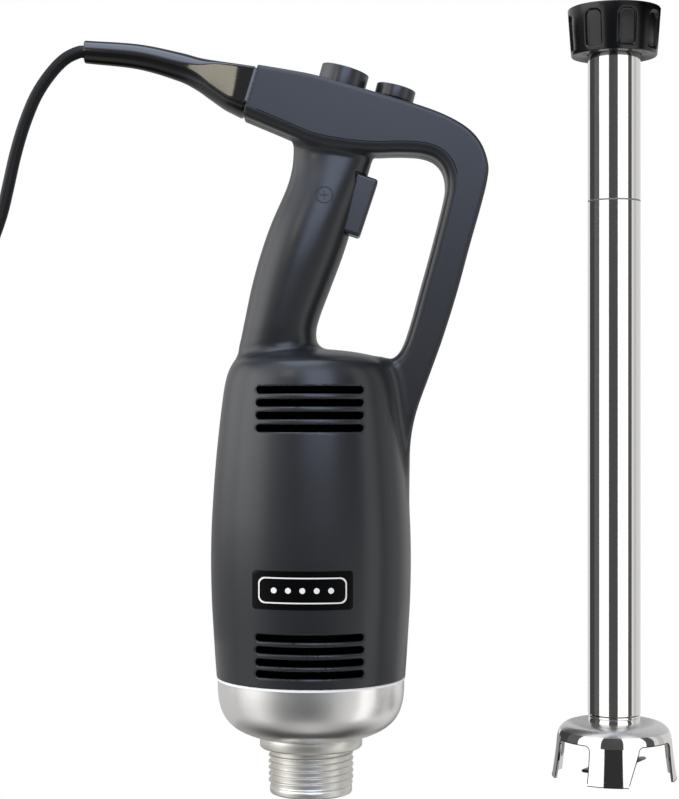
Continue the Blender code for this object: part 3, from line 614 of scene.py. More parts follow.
def housing(shape):
    cell = 0.72
    for half, field, low_y, high_y in (("front", shape.front, -51.0, 1.5), ("rear", shape.rear, -1.5, 51.0)):
        name = "housing_%s_shell" % half
        low, high = (-52.0, low_y, HOUSING_BOTTOM - 2), (88.0, high_y, 354.0)
        obj = object_from(name, field_mesh(name, *level_surface(low, high, cell, field)), MOTOR)
        finish_piece(obj, "housing", "motor_unit", ["housing_" + half])


def vent_shade_sheets():
    """Near-black sheets without gloss behind both groups of vents: painted shade inside the housing."""
    inner = [(r - WALL - 0.4, z) for r, z in BARREL]
    for name, low, high in (("vent_shade_lower", 58.0, 85.0), ("vent_shade_upper", 172.0, 200.0)):
        heights = np.linspace(high, low, 7)
        radius = np.interp(heights, [z for _, z in inner], [r for r, _ in inner])
        profile = list(zip(radius, heights)) + list(zip(radius[::-1] - 0.8, heights[::-1]))
        turned_piece(name, profile, 96, MOTOR, "painted_vent_shade", "motor_unit")


def housing_screws():
    """Pan heads with a cross recess, on the rear half."""
    head = rounded([(0, 2.2, 0), (2.2, 2.15, 0.6), (3.0, 1.2, 0.4), (3.0, 0.1, 0.1), (1.4, 0.1, 0.1),
                    (1.4, -8, 0), (0, -8, 0)], 0.2, 3)
    for number, (x, z, seat) in enumerate(SCREWS, start=1):
        name = "screw_head_%d" % number
        obj = object_from(name, turned_mesh(name, head, 32), MOTOR + Vector((x, seat, z)) * MM, (-90, 0, 0))
        cross_recess(obj)
        finish_piece(obj, "spring_steel", "motor_unit", ["housing_screw_%d" % number])


def cross_recess(obj):
    cutter = object_from(obj.name + "_cutter", box_mesh("recess", (3.4, 0.7, 2.2), (0, 0, 2.2), (0, 90)))
    cutter.matrix_world = Matrix.Translation(obj.location) @ obj.rotation_euler.to_matrix().to_4x4()
    apply_cut(obj, [cutter])


def apply_cut(obj, cutters, operation='DIFFERENCE', sharp=35.0):
    """Booleans made permanent, so that no cutter is left in the scene."""
    for cutter in cutters:
        step = obj.modifiers.new(cutter.name, 'BOOLEAN')
        step.operation = operation
        step.object = cutter
        step.solver = 'EXACT'
        step.use_self = True
    graph = bpy.context.evaluated_depsgraph_get()
    graph.update()
    mesh = bpy.data.meshes.new_from_object(obj.evaluated_get(graph))
    obj.modifiers.clear()
    obj.data = mesh
    mesh.shade_smooth()
    mesh.set_sharp_from_angle(angle=math.radians(sharp))
    for cutter in cutters:
        bpy.data.objects.remove(cutter)


# ---------------------------------------------------------------- nose

def nose():
    outer = [tuple(p) for p in smooth_curve([(45.2, 55.0), (45.1, 50.0), (44.6, 45.0), (43.2, 40.0),
                                             (40.6, 35.6), (36.6, 32.0), (31.0, 29.2), (25.2, 27.4)], 6)]
    inner = [(24.8, 27.6), (12.3, 27.7), (12.3, 31.5), (30.5, 32.4), (37.2, 36.6), (40.4, 41.0), (41.5, 46.0),
             (42.6, 55.0)]
    turned_piece("nose_bowl", outer + inner, 192, MOTOR, "aluminium", "motor_unit", ["nose_cap"])
    ring = rounded([(42.8, 56.3, 0), (45.3, 56.3), (45.75, 55.7), (45.5, 55.0), (42.8, 55.0, 0)], 0.3, 4)
    turned_piece("trim_line", ring, 192, MOTOR, "trim", "motor_unit", ["trim_ring"])
    thread()


def thread_radius(angle, z):
    """Radius of the screwed nose: a rounded helical ridge that runs out at both ends."""
    phase = (z / THREAD_PITCH - angle / (2 * math.pi)) % 1.0
    above = phase - 0.5
    ridge = (0.32 - above) / 0.26 if above > 0 else (0.18 + above) / 0.12
    ridge = min(1.0, max(0.0, ridge))
    ridge = ridge * ridge * (3 - 2 * ridge)
    fade = min(1.0, max(0.0, (z - THREAD_BOTTOM) / 1.6)) * min(1.0, max(0.0, (THREAD_TOP - z) / 1.6))
    return THREAD_ROOT_R + (THREAD_CREST_R - THREAD_ROOT_R) * ridge * fade


def thread():
    segments, steps = ((160, 170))
    rows = [(24.7, 27.8), (24.7, 27.2), (24.8, 26.8), (24.8, 22.9), (24.2, 22.2), (19.9, 21.9)]
    rows += [(thread_radius, z) for z in np.linspace(THREAD_TOP, THREAD_BOTTOM, steps + 1)]
    rows += [(19.8, 3.3), (19.9, 2.6), (19.9, 0.8), (19.6, 0.25), (19.0, 0.0), (15.9, 0.0), (15.3, 0.5),
             (15.3, 27.7)]
    obj = object_from("screwed_nose", ridged_mesh("screwed_nose", rows, segments, 60), MOTOR)
    finish_piece(obj, "cast_aluminium", "motor_unit", ["threaded_nose"])


def drive_socket():
    """The rotor's female coupling, smooth outside, with its hexagonal socket."""
    shape = rounded([(7.5, 26, 0), (9, 24), (9, 6.0), (8.2, 5.6), (4.3, 5.6), (4.3, 26, 0)], 0.4, 3)
    obj = object_from("drive_socket", turned_mesh("drive_socket", shape, 64), MOTOR)
    apply_cut(obj, [prism("socket_cutter", MOTOR, 5.4, 5.0, 16.8, 6)])
    finish_piece(obj, "polished_steel", "rotor", ["output_coupling"])


# ---------------------------------------------------------------- badge and engraving

def badge():
    """A gloss plate that follows the barrel, with a plain framed row of dots."""
    left, right, bottom, top = BADGE
    plate = curved_panel("badge_panel", left, right, bottom, top, 1.6, 0.30)
    finish_piece(plate, "badge", "motor_unit", ["badge_plate"])
    inset = 2.9
    outer = (left + inset, right - inset, bottom + inset, top - inset)
    frame_line = curved_frame("badge_frame", outer, 3.0, 0.62, 0.46)
    finish_piece(frame_line, "mark", "motor_unit")
    half, z = 1.35, (bottom + top) / 2
    for number in range(1, 6):
        x = (left + right) / 2 + (number - 3) * 6.6
        dot = curved_panel("badge_dot_%d" % number, x - half, x + half, z - half, z + half, half, 0.48)
        finish_piece(dot, "mark", "motor_unit")


def rounded_box(left, right, bottom, top, radius, steps=8):
    made = []
    for cx, cz, start in ((right - radius, top - radius, 0), (left + radius, top - radius, 90),
                          (left + radius, bottom + radius, 180), (right - radius, bottom + radius, 270)):
        for i in range(steps + 1):
            angle = math.radians(start + 90 * i / steps)
            made.append((cx + radius * math.cos(angle), cz + radius * math.sin(angle)))
    return made


def barrel_front(x, z, lift):
    """The point of the barrel's front at a place, lifted off its surface."""
    heights, radii = [row[1] for row in BARREL], [row[0] for row in BARREL]
    radius = float(np.interp(z, heights, radii)) + lift
    return (x, -math.sqrt(radius ** 2 - x * x), z)


def dense_loop(corners, longest=1.5):
    """The same closed outline with points added along its straight runs."""
    made = []
    for a, b in zip(corners, corners[1:] + corners[:1]):
        steps = max(1, math.ceil(math.dist(a, b) / longest))
        made += [(a[0] + (b[0] - a[0]) * i / steps, a[1] + (b[1] - a[1]) * i / steps) for i in range(steps)]
    return made


def curved_panel(name, left, right, bottom, top, radius, lift, deep=1.0):
    """A rounded panel wrapped on the barrel's front."""
    rim = dense_loop(rounded_box(left, right, bottom, top, radius))
    middle_x, middle_z = (left + right) / 2, (bottom + top) / 2
    shares = [(1.0, lift - deep), (1.0, lift - 0.12), (0.99, lift)]
    shares += [(1.0 - 0.08 * step, lift) for step in range(1, 12)]
    rings = [[barrel_front(middle_x + (x - middle_x) * share, middle_z + (z - middle_z) * share, rise)
              for x, z in rim] for share, rise in shares]
    points = [Vector(p) * MM for ring in rings for p in ring]
    count, last = len(rim), (len(rings) - 1) * len(rim)
    faces = loft(len(rings), count)
    points.append(Vector(barrel_front(middle_x, middle_z, lift)) * MM)
    points.append(Vector(barrel_front(middle_x, middle_z, lift - deep)) * MM)
    for i in range(count):
        j = (i + 1) % count
        faces.append((last + i, last + j, len(points) - 2))
        faces.append((j, i, len(points) - 1))
    return object_from(name, mesh_of(name, points, faces, 40), MOTOR)


def curved_frame(name, box, radius, width, lift, deep=0.6):
    """A thin rounded frame wrapped on the barrel's front."""
    left, right, bottom, top = box
    outer = dense_loop(rounded_box(left, right, bottom, top, radius))
    shrink_x = 1 - 2 * width / (right - left)
    shrink_z = 1 - 2 * width / (top - bottom)
    middle_x, middle_z = (left + right) / 2, (bottom + top) / 2
    inner = [(middle_x + (x - middle_x) * shrink_x, middle_z + (z - middle_z) * shrink_z) for x, z in outer]
    points = []
    for rim, rise in ((outer, lift - deep), (outer, lift), (inner, lift), (inner, lift - deep)):
        points += [Vector(barrel_front(x, z, rise)) * MM for x, z in rim]
    return object_from(name, mesh_of(name, points, loft(4, len(outer), ring=True), 40), MOTOR)


def on_skin(shape, x, z):
    """The front point of the housing's outside at a place in the middle plane."""
    low, high = -60.0, -2.0
    for _ in range(40):
        mid = (low + high) / 2
        if float(shape.outside(np.array(x), np.array(mid), np.array(z))) > 0:
            low = mid
        else:
            high = mid
    return (x, high, z)


def thin_line(name, places, width, look, body):
    return finish_piece(tube_along(name, places, width), look, body)


def power_symbol(shape):
    """A ring round a small cross, set into the grip's side."""
    (x, z), radius = (6.5, 287.7), 3.9
    lines = {"ring": [(radius * math.cos(a), radius * math.sin(a)) for a in np.linspace(0, 2 * math.pi, 49)],
             "bar": [(0, 2.2 * t) for t in np.linspace(-1, 1, 7)],
             "dash": [(2.0 * t, 0) for t in np.linspace(-1, 1, 7)]}
    for name, line in lines.items():
        width = 0.55 if name == "ring" else 0.5
        places = [on_skin(shape, x + dx, z + dz) for dx, dz in line]
        thin_line("power_symbol_" + name, places, width, "engraving", "motor_unit")


def loop_grooves():
    """The fine groove that parts the loop's rounded inner band from its flat face, on both sides, drawn as a
    near-black line: painted shade in the groove.
    """
    line = smooth_curve(ARM_INNER[1:-2], 8)[60:-2]
    along = np.gradient(line, axis=0)
    along /= np.linalg.norm(along, axis=1, keepdims=True)
    outward = line + np.column_stack([along[:, 1], -along[:, 0]]) * GROOVE_INSET
    for name, side in (("loop_groove_front", -1), ("loop_groove_rear", 1)):
        places = [(x, side * (HANDLE_HALF - 0.28), z) for x, z in outward]
        # The near-black line is painted shade in the groove.
        thin_line(name, places, 0.7, "badge", "motor_unit")


# ---------------------------------------------------------------- controls

def controls():
    top, r = BUTTON_TOP, BUTTON_R
    cap = rounded([(0, top - 0.25, 0), (r - 2.4, top - 0.25, 0.8), (r - 1.9, top, 0.4), (r, top, 0.5),
                   (r, -5.0, 0.3), (0, -5.0, 0)], 0.5)
    turned_piece("enable_cap", cap, 128, on_motor(*BUTTON_AT), "button", "enable_button", ["enable_button"],
                 (0, BUTTON_TILT, 0))
    top, r = DIAL_TOP, DIAL_R
    knob = rounded([(0, top - 0.3, 0), (r - 2.6, top - 0.3, 0.6), (r - 2.1, top, 0.4), (r, top, 0.5),
                    (r, 1.0, 0.3), (3.2, 1.0, 0), (3.2, -12.0, 0), (0, -12.0, 0)], 0.4)
    turned_piece("dial_knob", knob, 128, on_motor(*DIAL_AT), "button", "speed_dial", ["speed_dial"],
                 (0, DIAL_TILT, 0))
    dial_pointer()
    trigger_block()


def dial_pointer():
    mesh = box_mesh("dial_pointer", (0.9, 5.6, 0.5), (0, -4.6, DIAL_TOP - 0.2))
    obj = object_from("dial_pointer", mesh, on_motor(*DIAL_AT), (0, DIAL_TILT, 0))
    round_edges(obj, 0.15, 2)
    finish_piece(obj, "mark", "speed_dial")


def trigger_block():
    low, high = -5.5, TRIGGER_TOP
    mesh = box_mesh("trigger_paddle", (*TRIGGER_SIZE, high - low), (0, 0, (low + high) / 2))
    obj = object_from("trigger_paddle", mesh, on_motor(*TRIGGER_AT), (0, TRIGGER_TILT, 0))
    round_edges(obj, 1.5, 5)
    mesh.shade_smooth()
    mesh.set_sharp_from_angle(angle=math.radians(35))
    normals = obj.modifiers.new("Even", 'WEIGHTED_NORMAL')
    normals.keep_sharp = True
    finish_piece(obj, "button", "trigger", ["trigger"])


# ---------------------------------------------------------------- cord boot

BOOT_SIDES = 88


def boot_loop(section):
    """One closed section of the boot: round above and below, with flat cheeks between."""
    top, bottom = np.array((section[0], 0, section[1])), np.array((section[2], 0, section[3]))
    half, flat_up, flat_down = section[4:]
    middle, reach = (top + bottom) / 2, (top - bottom) / 2
    quarter = [(flat_up + (1 - flat_up) * math.cos(a), math.sin(a)) for a in np.linspace(0, math.pi / 2, 16)]
    quarter += [(flat_up - (flat_up + flat_down) * t, 1.0) for t in np.linspace(0, 1, 16)[1:-1]]
    quarter += [(-flat_down - (1 - flat_down) * math.sin(a), math.cos(a))
                for a in np.linspace(0, math.pi / 2, 15)]
    side = quarter[:BOOT_SIDES // 2 + 1]
    outline = side + [(u, -v) for u, v in side[-2:0:-1]]
    return [middle + reach * u + np.array((0, half * v, 0)) for u, v in outline]


def cord_boot():
    """The gland that leads the cord out of the handle, with a shadow gap where it meets the housing."""
    sections = smooth_curve([[*top, *bottom, *rest] for top, bottom, *rest in BOOT], 8)
    loops = [boot_loop(section) for section in sections]
    first = loops[0]
    middle = np.mean(first, axis=0)
    neck = [middle + (p - middle) * 0.95 for p in first]
    lip = [middle + (p - middle) * 0.985 + (0.35, 0, -0.1) for p in first]
    loops = [[p + (2.2, 0, -0.7) for p in neck], [p + (0.4, 0, -0.1) for p in neck], lip] + loops
    mouth = np.array((-109.3, 0, 358.5))
    for shift, radius in ((-0.35, 5.25), (-0.5, 4.9), (-0.5, 3.9), (-0.2, 3.35), (3.0, 3.2)):
        loops.append([mouth + (shift, radius * math.sin(a), radius * math.cos(a))
                      for a in circle(BOOT_SIDES)])
    points = [Vector(p) * MM for loop in loops for p in loop]
    faces = loft(len(loops), BOOT_SIDES, caps=True)
    obj = object_from("lead_boot", mesh_of("lead_boot", points, faces, 30), MOTOR)
    finish_piece(obj, "boot", "motor_unit", ["cord_boot"])


# ---------------------------------------------------------------- blending shaft

def outer_tube():
    top, bottom = 366.3, 31.7
    line = 290.0
    shape = [(12.0, top), (13.0, top), (13.2, top - 0.2), (13.2, top - 1.2), (13.2, line + 1.5),
             (13.2, line + 0.4), (13.12, line + 0.3), (13.12, line - 0.3), (13.2, line - 0.4),
              (13.2, line - 1.5),
             (13.2, bottom + 1.2), (13.2, bottom + 0.2), (13.0, bottom), (12.0, bottom)]
    turned_piece("shaft_tube", shape, 128, SHAFT, "polished_steel", "shaft", ["outer_tube"])
    band = [(13.16, line + 0.3), (13.22, line + 0.3), (13.22, line - 0.3), (13.16, line - 0.3)]
    turned_piece("etched_line", band, 128, SHAFT, "etching", "shaft")


def shaft_hub():
    hub = rounded([(5.6, 368.7, 0), (19.6, 368.7), (19.6, 366.6), (11.6, 366.6), (11.6, 350, 0),
                   (5.6, 350, 0)], 0.3, 3)
    turned_piece("drive_hub", hub, 96, SHAFT, "cast_aluminium", "shaft", ["shaft_hub"])
    spigot = rounded([(5.6, 377, 0), (14.3, 377, 0.7), (14.3, 369, 0.2), (5.3, 369, 0), (5.3, 352, 0),
                      (3.4, 352, 0), (3.4, 370.5, 0), (5.6, 370.5, 0)], 0.3, 3)
    turned_piece("top_spigot", spigot, 96, SHAFT, "bronze", "shaft", ["upper_bushing"])


def nut_radius(angle, z):
    """Outside of the collar nut: eight shallow hollows on a slightly flared body."""
    body = 21.6 + (23.3 - 21.6) * min(1.0, max(0.0, (z - 363.6) / 22.8))
    body -= max(0.0, 363.6 - z) * 0.8 + max(0.0, z - 386.4) * 0.75
    pitch = math.pi / 4
    offset = (angle - math.radians(NUT_TURN) + pitch / 2) % pitch - pitch / 2
    across = abs(offset) * body
    half_wide, low, high = 4.9, 364.9, 383.9
    corner = 3.7 if z > (low + high) / 2 else 1.9
    out_x = max(0.0, across - half_wide + corner)
    out_z = max(0.0, z - high + corner, low + corner - z)
    edge = corner - math.hypot(out_x, out_z)
    if edge >= corner:
        edge = min(half_wide - across, high - z, z - low)
    share = min(1.0, max(0.0, edge / 1.1))
    return body - 1.2 * share * share * (3 - 2 * share)


def locking_nut():
    segments, steps = ((320, 110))
    rows = [(20.75, 366.2), (20.75, 386.3), (21.3, 386.95)]
    rows += [(nut_radius, z) for z in np.linspace(386.8, 363.2, steps + 1)]
    rows += [(20.8, 363.1), (20.2, 363.2), (13.9, 363.7), (13.6, 364.0), (13.6, 366.2)]
    obj = object_from("collar_nut", ridged_mesh("collar_nut", rows, segments, 50), SHAFT)
    finish_piece(obj, "nut", "locking_nut", ["locking_nut", "nut_ring"])


# Each bell window: the way it faces, then its left foot, left top, right top and right foot.
BELL_WINDOWS = ((-45, -13.9, -12.4, 9.8, 10.4), (45, -16.7, -10.4, 12.3, 11.9),
                (135, -10.4, -10.0, 10.0, 12.0), (225, -12.0, -10.4, 8.6, 8.6))
LEG_TURN = -8.0
BELL_FOOT_R = 31.2


def bell_guard():
    """A ringed neck, a low satin dome and four polished legs between the windows."""
    neck = [(12.6, 31.4), (13.0, 31.1), (13.1, 30.2), (12.75, 29.8), (12.75, 29.5), (13.05, 29.1),
            (13.05, 28.2)]
    outer = smooth_curve([(13.2, 27.7), (17.0, 27.75), (21.0, 27.5), (24.0, 26.7), (26.2, 25.2), (27.8, 23.0),
                          (28.6, 20.0), (29.2, 14.0), (30.1, 7.0), (BELL_FOOT_R, 0.0)], 6)
    inner = smooth_curve([(29.9, 0.0), (28.8, 7.0), (27.9, 14.0), (27.3, 19.6), (26.5, 22.2), (24.9, 24.1),
                          (22.4, 25.4), (18.0, 26.1), (13.0, 26.2)], 6)
    profile = neck + [tuple(p) for p in (*outer, *inner)] + [(13.0, 25.0), (7.5, 25.0), (7.5, 31.4)]
    obj = object_from("bell", turned_mesh("bell", profile, 256), SHAFT)
    cutters = [window_cutter(number, *window) for number, window in enumerate(BELL_WINDOWS, start=1)]
    apply_cut(obj, cutters, sharp=40)
    bevel = round_edges(obj, 0.5, 3)
    bevel.limit_method = 'ANGLE'
    bevel.angle_limit = math.radians(50)
    finish_piece(obj, "polished_steel", "shaft", ["bell_guard"])
    obj.data.materials.append(LOOKS["satin_steel"])
    for face in obj.data.polygons:
        if 24.0 < face.center.z / MM < 27.9 and face.normal.z > 0.1:
            face.material_index = 1


def bell_edges():
    """A near-black line round each window and along each foot, laid on the bell's outer wall: painted shade
    along the cut edges of the windows and the feet.
    """
    feet = []
    for number, (turn, *widths) in enumerate(BELL_WINDOWS, start=1):
        outline = window_outline(*widths, foot=0.3)
        around = dense_loop(outline[1:] + outline[:1], 1.0)
        places = [on_bell(turn, x, z) for x, z in around[:-2] if z > 0.3]
        thin_line("window_edge_%d" % number, places, 0.5, "painted_edge_shade", "shaft")
        feet.append((turn + math.degrees(math.asin(widths[0] / BELL_FOOT_R)),
                     turn + math.degrees(math.asin(widths[3] / BELL_FOOT_R))))
    for number, (left, right) in enumerate(feet, start=1):
        after = feet[number % len(feet)][0] + (360 if number == len(feet) else 0)
        places = [on_bell(turn, 0.0, 0.3) for turn in np.linspace(right, after, 13)]
        thin_line("foot_edge_%d" % number, places, 0.5, "painted_edge_shade", "shaft")


def on_bell(turn, x, z):
    """A point on the bell's outer wall, from the motor's foot, x across from a window's middle."""
    angle = math.radians(turn + LEG_TURN)
    radius = float(np.interp(z, (0, 7, 14, 20), (BELL_FOOT_R, 30.1, 29.2, 28.6))) - 0.1
    out = math.sqrt(radius * radius - x * x)
    return (SHAFT - MOTOR) / MM + Vector((x * math.cos(angle) + out * math.sin(angle),
                                          x * math.sin(angle) - out * math.cos(angle), z))


def window_outline(foot_left, top_left, top_right, foot_right, foot=-1.0):
    top, corner = 19.4, 2.8
    outline = [(foot_left, foot), (foot_right, foot)]
    for side, start in ((top_right - corner, 0), (top_left + corner, 90)):
        for i in range(9):
            angle = math.radians(start + 90 * i / 8)
            outline.append((side + corner * math.cos(angle), top - corner + corner * math.sin(angle)))
    return outline


def window_cutter(number, turn, *widths):
    """A cutter through one wall of the bell, with round upper corners."""
    outline = window_outline(*widths)
    points = [(x * MM, y * MM, z * MM) for y in (-15, 15) for x, z in outline]
    faces = loft(2, len(outline), caps=True)
    angle = math.radians(turn + LEG_TURN)
    place = SHAFT + Vector((30 * math.sin(angle), -30 * math.cos(angle), 0)) * MM
    return object_from("window_cutter_%d" % number, mesh_of("window_cutter", points, faces), place,
                       (0, 0, turn + LEG_TURN))


def blade():
    """A ground blade: bevelled cutting edges, one tip bent up and the other turned down."""
    half, rows = 19.75, 40
    points = []
    section = [(-5.5, -0.15), (-5.5, 0.1), (-3.4, 0.8), (3.4, 0.8), (5.5, 0.1), (5.5, -0.15), (3.4, -0.8),
               (-3.4, -0.8)]
    for row in range(rows + 1):
        x = -half + 2 * half * row / rows
        reach = abs(x)
        outward = max(0.0, reach - 6.0) / (half - 6.0)
        twist = math.radians(-9 if x > 0 else -4) * outward
        narrow = 1.0 - 0.50 * max(0.0, (reach - 8) / (half - 8)) ** 2
        for y, z in section:
            y = y * narrow
            points.append((x * MM, (y * math.cos(twist) - z * math.sin(twist)) * MM,
                           (y * math.sin(twist) + z * math.cos(twist) + math.copysign(outward, x)) * MM))
    faces = loft(rows + 1, len(section), caps=True)
    place = Vector((SHAFT.x, SHAFT.y, 5.7 * MM))
    obj = object_from("cutting_blade", mesh_of("cutting_blade", points, faces, 20), place, (0, 0, 35))
    apply_cut(obj, [prism("blade_bore", place, 2.5, -3, 3, 32)], sharp=20)
    # The blade's steel is painted dark: painted shade inside the bell.
    finish_piece(obj, "blade_steel", "blade_assembly", ["blade"])


# ---------------------------------------------------------------- lead, coil and plug

def lead_points():
    """The lead's whole route: boot, floor, six turns of coil, plug."""
    lead = [np.array(BOOT_MOUTH) + (3.0, 0, 0), np.array(BOOT_MOUTH)]
    lead += [np.array(p, float) for p in CORD_ROUTE]
    coil = []
    layers = [COIL_TURN_R, COIL_TURN_R[::-1]]
    per_turn = 36
    centre = np.array((*COIL_AT, 0.0))
    radii = [r for layer in layers for r in layer]
    for turn, radius in enumerate(radii):
        after = radii[min(turn + 1, len(radii) - 1)]
        low = CORD_D / 2 + (CORD_D if turn >= 3 else 0)
        high = CORD_D / 2 + (CORD_D if turn >= 2 else 0)
        for i in range(per_turn):
            angle = 2 * math.pi * i / per_turn
            late = max(0.0, (i / per_turn - 0.72) / 0.28)
            blend = late * late * (3 - 2 * late)
            r = radius + (after - radius) * blend
            z = low + (high - low) * blend
            coil.append(centre + (r * math.cos(angle), r * math.sin(angle), z))
    coil.append(centre + (radii[-1], 0, CORD_D * 1.5))
    tail = [centre + p for p in TAIL_ROUTE]
    tail.append(centre + np.array(TAIL_ROUTE[-1]) + np.array((-0.47, 0.88, 0.1)) * 2.0)
    return smooth_curve(lead + coil + tail, 4)


def mains_lead():
    places = lead_points()
    lead = tube_along("mains_lead", places, CORD_D, 5)
    lead.data.splines[0].use_smooth = True
    finish_piece(lead, "cord_rubber", "motor_unit", ["power_cord", "cord_coil", "power_cord_tail"])
    plug, tie = plug_body(), cord_tie()


# The plug along its length: distance from the lead's entry, half width, half height and squareness.
PLUG_SECTIONS = [(-13.0, 4.0, 4.0, 2.0), (-6.0, 4.6, 4.6, 2.0), (0.0, 6.4, 6.2, 2.2), (5.0, 10.2, 8.4, 2.8),
                 (11.0, 12.4, 9.8, 3.6), (20.0, 12.2, 9.9, 4.0), (28.0, 12.8, 10.3, 4.4),
                 (36.0, 13.0, 10.5, 5.0)]


def squarish(angle, power):
    """A circle's point pushed towards a square's corners: the lower the power, the further."""
    return [math.copysign(abs(part) ** power, part) for part in (math.cos(angle), math.sin(angle))]


def plug_body():
    place = MOTOR + Vector((COIL_AT[0] + PLUG_AT[0], COIL_AT[1] + PLUG_AT[1], PLUG_AT[2])) * MM
    count, points = 64, []
    stations = [-13.0, -12.6] + list(np.linspace(-12, 35.2, 40)) + [35.7, 36.0]
    along, *columns = zip(*PLUG_SECTIONS)
    for number, x in enumerate(stations):
        half_y, half_z, square = [float(np.interp(x, along, column)) for column in columns]
        shrink = {0: 0.75, 1: 0.92, len(stations) - 2: 0.985, len(stations) - 1: 0.955}.get(number, 1.0)
        if -11 < x < -1:
            shrink *= 1.0 - 0.09 * (math.sin(x * 2.1) > 0.3)
        for angle in circle(count):
            u, v = squarish(angle, 2 / square)
            points.append((x * MM, u * half_y * shrink * MM, v * half_z * shrink * MM))
    faces = loft(len(stations), count, caps=True)
    obj = object_from("mains_plug", mesh_of("mains_plug", points, faces, 45), place, (0, 0, PLUG_TURN))
    return finish_piece(obj, "black_plastic", "motor_unit", ["plug_body"])


def cord_tie():
    """A strap round the coil's section."""
    middle = (COIL_TURN_R[0] + COIL_TURN_R[-1]) / 2
    half_r, half_z = (COIL_TURN_R[0] - COIL_TURN_R[-1]) / 2 + CORD_D / 2 + 0.5, CORD_D + 0.35
    count, points = 48, []
    for inset, side in ((0.0, -4.0), (0.0, 4.0), (0.9, 4.0), (0.9, -4.0)):
        for angle in circle(count):
            u, v = squarish(angle, 0.45)
            height = CORD_D + 0.6 + v * (half_z + 0.6 - inset)
            points.append(((middle + u * (half_r + 0.9 - inset)) * MM, side * MM, max(0.05, height) * MM))
    place = MOTOR + Vector((*COIL_AT, 0.0)) * MM
    mesh = mesh_of("cord_tie", points, loft(4, count, ring=True), 50)
    return finish_piece(object_from("cord_tie", mesh, place, (0, 0, 200)), "black_plastic", "motor_unit")


# ---------------------------------------------------------------- stage, light and camera

def stage():
    """A plain white floor, kept out of polished surfaces."""
    bpy.ops.mesh.primitive_plane_add(size=12.0, location=(0, 0, -0.0004))
    floor = bpy.context.object
    floor.name = "floor"
    floor.visible_glossy = False
    look = bpy.data.materials.new("floor")
    look.use_nodes = True
    shader = look.node_tree.nodes["Principled BSDF"]
    for socket, value in (("Base Color", rgba(0.0)), ("Roughness", 1.0), ("Specular IOR Level", 0.0),
                          ("Emission Color", rgba(1.0)), ("Emission Strength", 1.0)):
        shader.inputs[socket].default_value = value
    floor.data.materials.append(look)


# The studio's brightness round the compass, from straight behind by way of the left, the front and the
# right: looking down, a little below eye level, well above it, and a little above it.
STUDIO_PEAK = 4.0
STUDIO_DOWN = [(-180, 0.03), (-120, 0.05), (-90, 0.16), (-60, 0.38), (0, 0.55), (60, 0.38), (90, 0.16),
               (120, 0.05), (180, 0.03)]
STUDIO_LOW = [(-180, 0.36), (-133, 0.36), (-110, 0.46), (-84, 0.77), (-70, 0.90), (-56, 0.54), (-38, 0.23),
              (-14, 0.14), (0, 0.12), (20, 0.22), (35, 0.52), (50, 0.66), (86, 0.80), (110, 0.70),
              (138, 0.60), (180, 0.45)]
STUDIO_UP = [(-180, 0.25), (-120, 0.40), (-84, 1.50), (-40, 1.70), (20, 1.60), (50, 0.60), (100, 0.30),
             (180, 0.25)]
STUDIO_HIGH = [(-180, 0.50), (-140, 0.60), (-112, 2.00), (-90, 3.40), (-66, 3.10), (-43, 0.90),
               (-20, 0.35), (0, 0.40), (14, 0.70), (30, 0.40), (60, 0.18), (85, 0.50), (112, 1.20),
               (140, 0.80), (180, 0.50)]


def compass_ramp(tree, share, bands, tint=(1.0, 1.0, 1.0)):
    ramp = add_node(tree, "ValToRGB", feeds={0: share})
    ramp.color_ramp.interpolation = 'EASE'
    elements = ramp.color_ramp.elements
    while len(elements) < len(bands):
        elements.new(0.5)
    for element, (degrees, level) in zip(elements, bands):
        element.position = (degrees + 180) / 360
        element.color = (*[level / STUDIO_PEAK * part for part in tint], 1)
    return ramp.outputs[0]


def blend_by_height(tree, height, low, high, first, second):
    """Mixes two colours over a span of heights of the direction looked in."""
    share = add_node(tree, "MapRange", {"From Min": low, "From Max": high}, {"Value": height})
    share.interpolation_type = 'SMOOTHSTEP'
    mix = add_node(tree, "Mix")
    mix.data_type = 'RGBA'
    tree.links.new(share.outputs[0], mix.inputs[0])
    for socket, colour in ((mix.inputs[6], first), (mix.inputs[7], second)):
        if isinstance(colour, tuple):
            socket.default_value = rgba(tuple(level / STUDIO_PEAK for level in colour))
        else:
            tree.links.new(colour, socket)
    return mix.outputs[2]


def world():
    """Studio light that changes with direction, and plain white behind everything."""
    made = bpy.data.worlds.new("studio")
    bpy.context.scene.world = made
    made.use_nodes = True
    tree = made.node_tree
    tree.nodes.clear()
    split = add_node(tree, "SeparateXYZ", feeds={0: add_node(tree, "TexCoord").outputs["Generated"]})
    flip = add_node(tree, "Math", {1: -1.0}, {0: split.outputs["Y"]})
    flip.operation = 'MULTIPLY'
    angle = add_node(tree, "Math", feeds={0: split.outputs["X"], 1: flip.outputs[0]})
    angle.operation = 'ARCTAN2'
    span = {"From Min": -math.pi, "From Max": math.pi}
    share = add_node(tree, "MapRange", span, {"Value": angle.outputs[0]}).outputs[0]
    down, low, high = [compass_ramp(tree, share, bands) for bands in (STUDIO_DOWN, STUDIO_LOW, STUDIO_HIGH)]
    up = compass_ramp(tree, share, STUDIO_UP, (0.92, 1.0, 1.16))
    height = split.outputs["Z"]
    colour = blend_by_height(tree, height, -0.11, 0.10, low, high)
    colour = blend_by_height(tree, height, 0.42, 0.66, colour, up)
    colour = blend_by_height(tree, height, 0.80, 0.97, colour, (0.60, 0.64, 0.72))
    colour = blend_by_height(tree, height, -0.90, -0.55, down, colour)
    soft = add_node(tree, "Background", {"Strength": STUDIO_PEAK}, {"Color": colour})
    plain = add_node(tree, "Background", {"Color": rgba(1.0)})
    ray = add_node(tree, "LightPath").outputs["Is Camera Ray"]
    pick = add_node(tree, "MixShader", feeds={0: ray, 1: soft.outputs[0], 2: plain.outputs[0]})
    add_node(tree, "OutputWorld", feeds={"Surface": pick.outputs[0]})


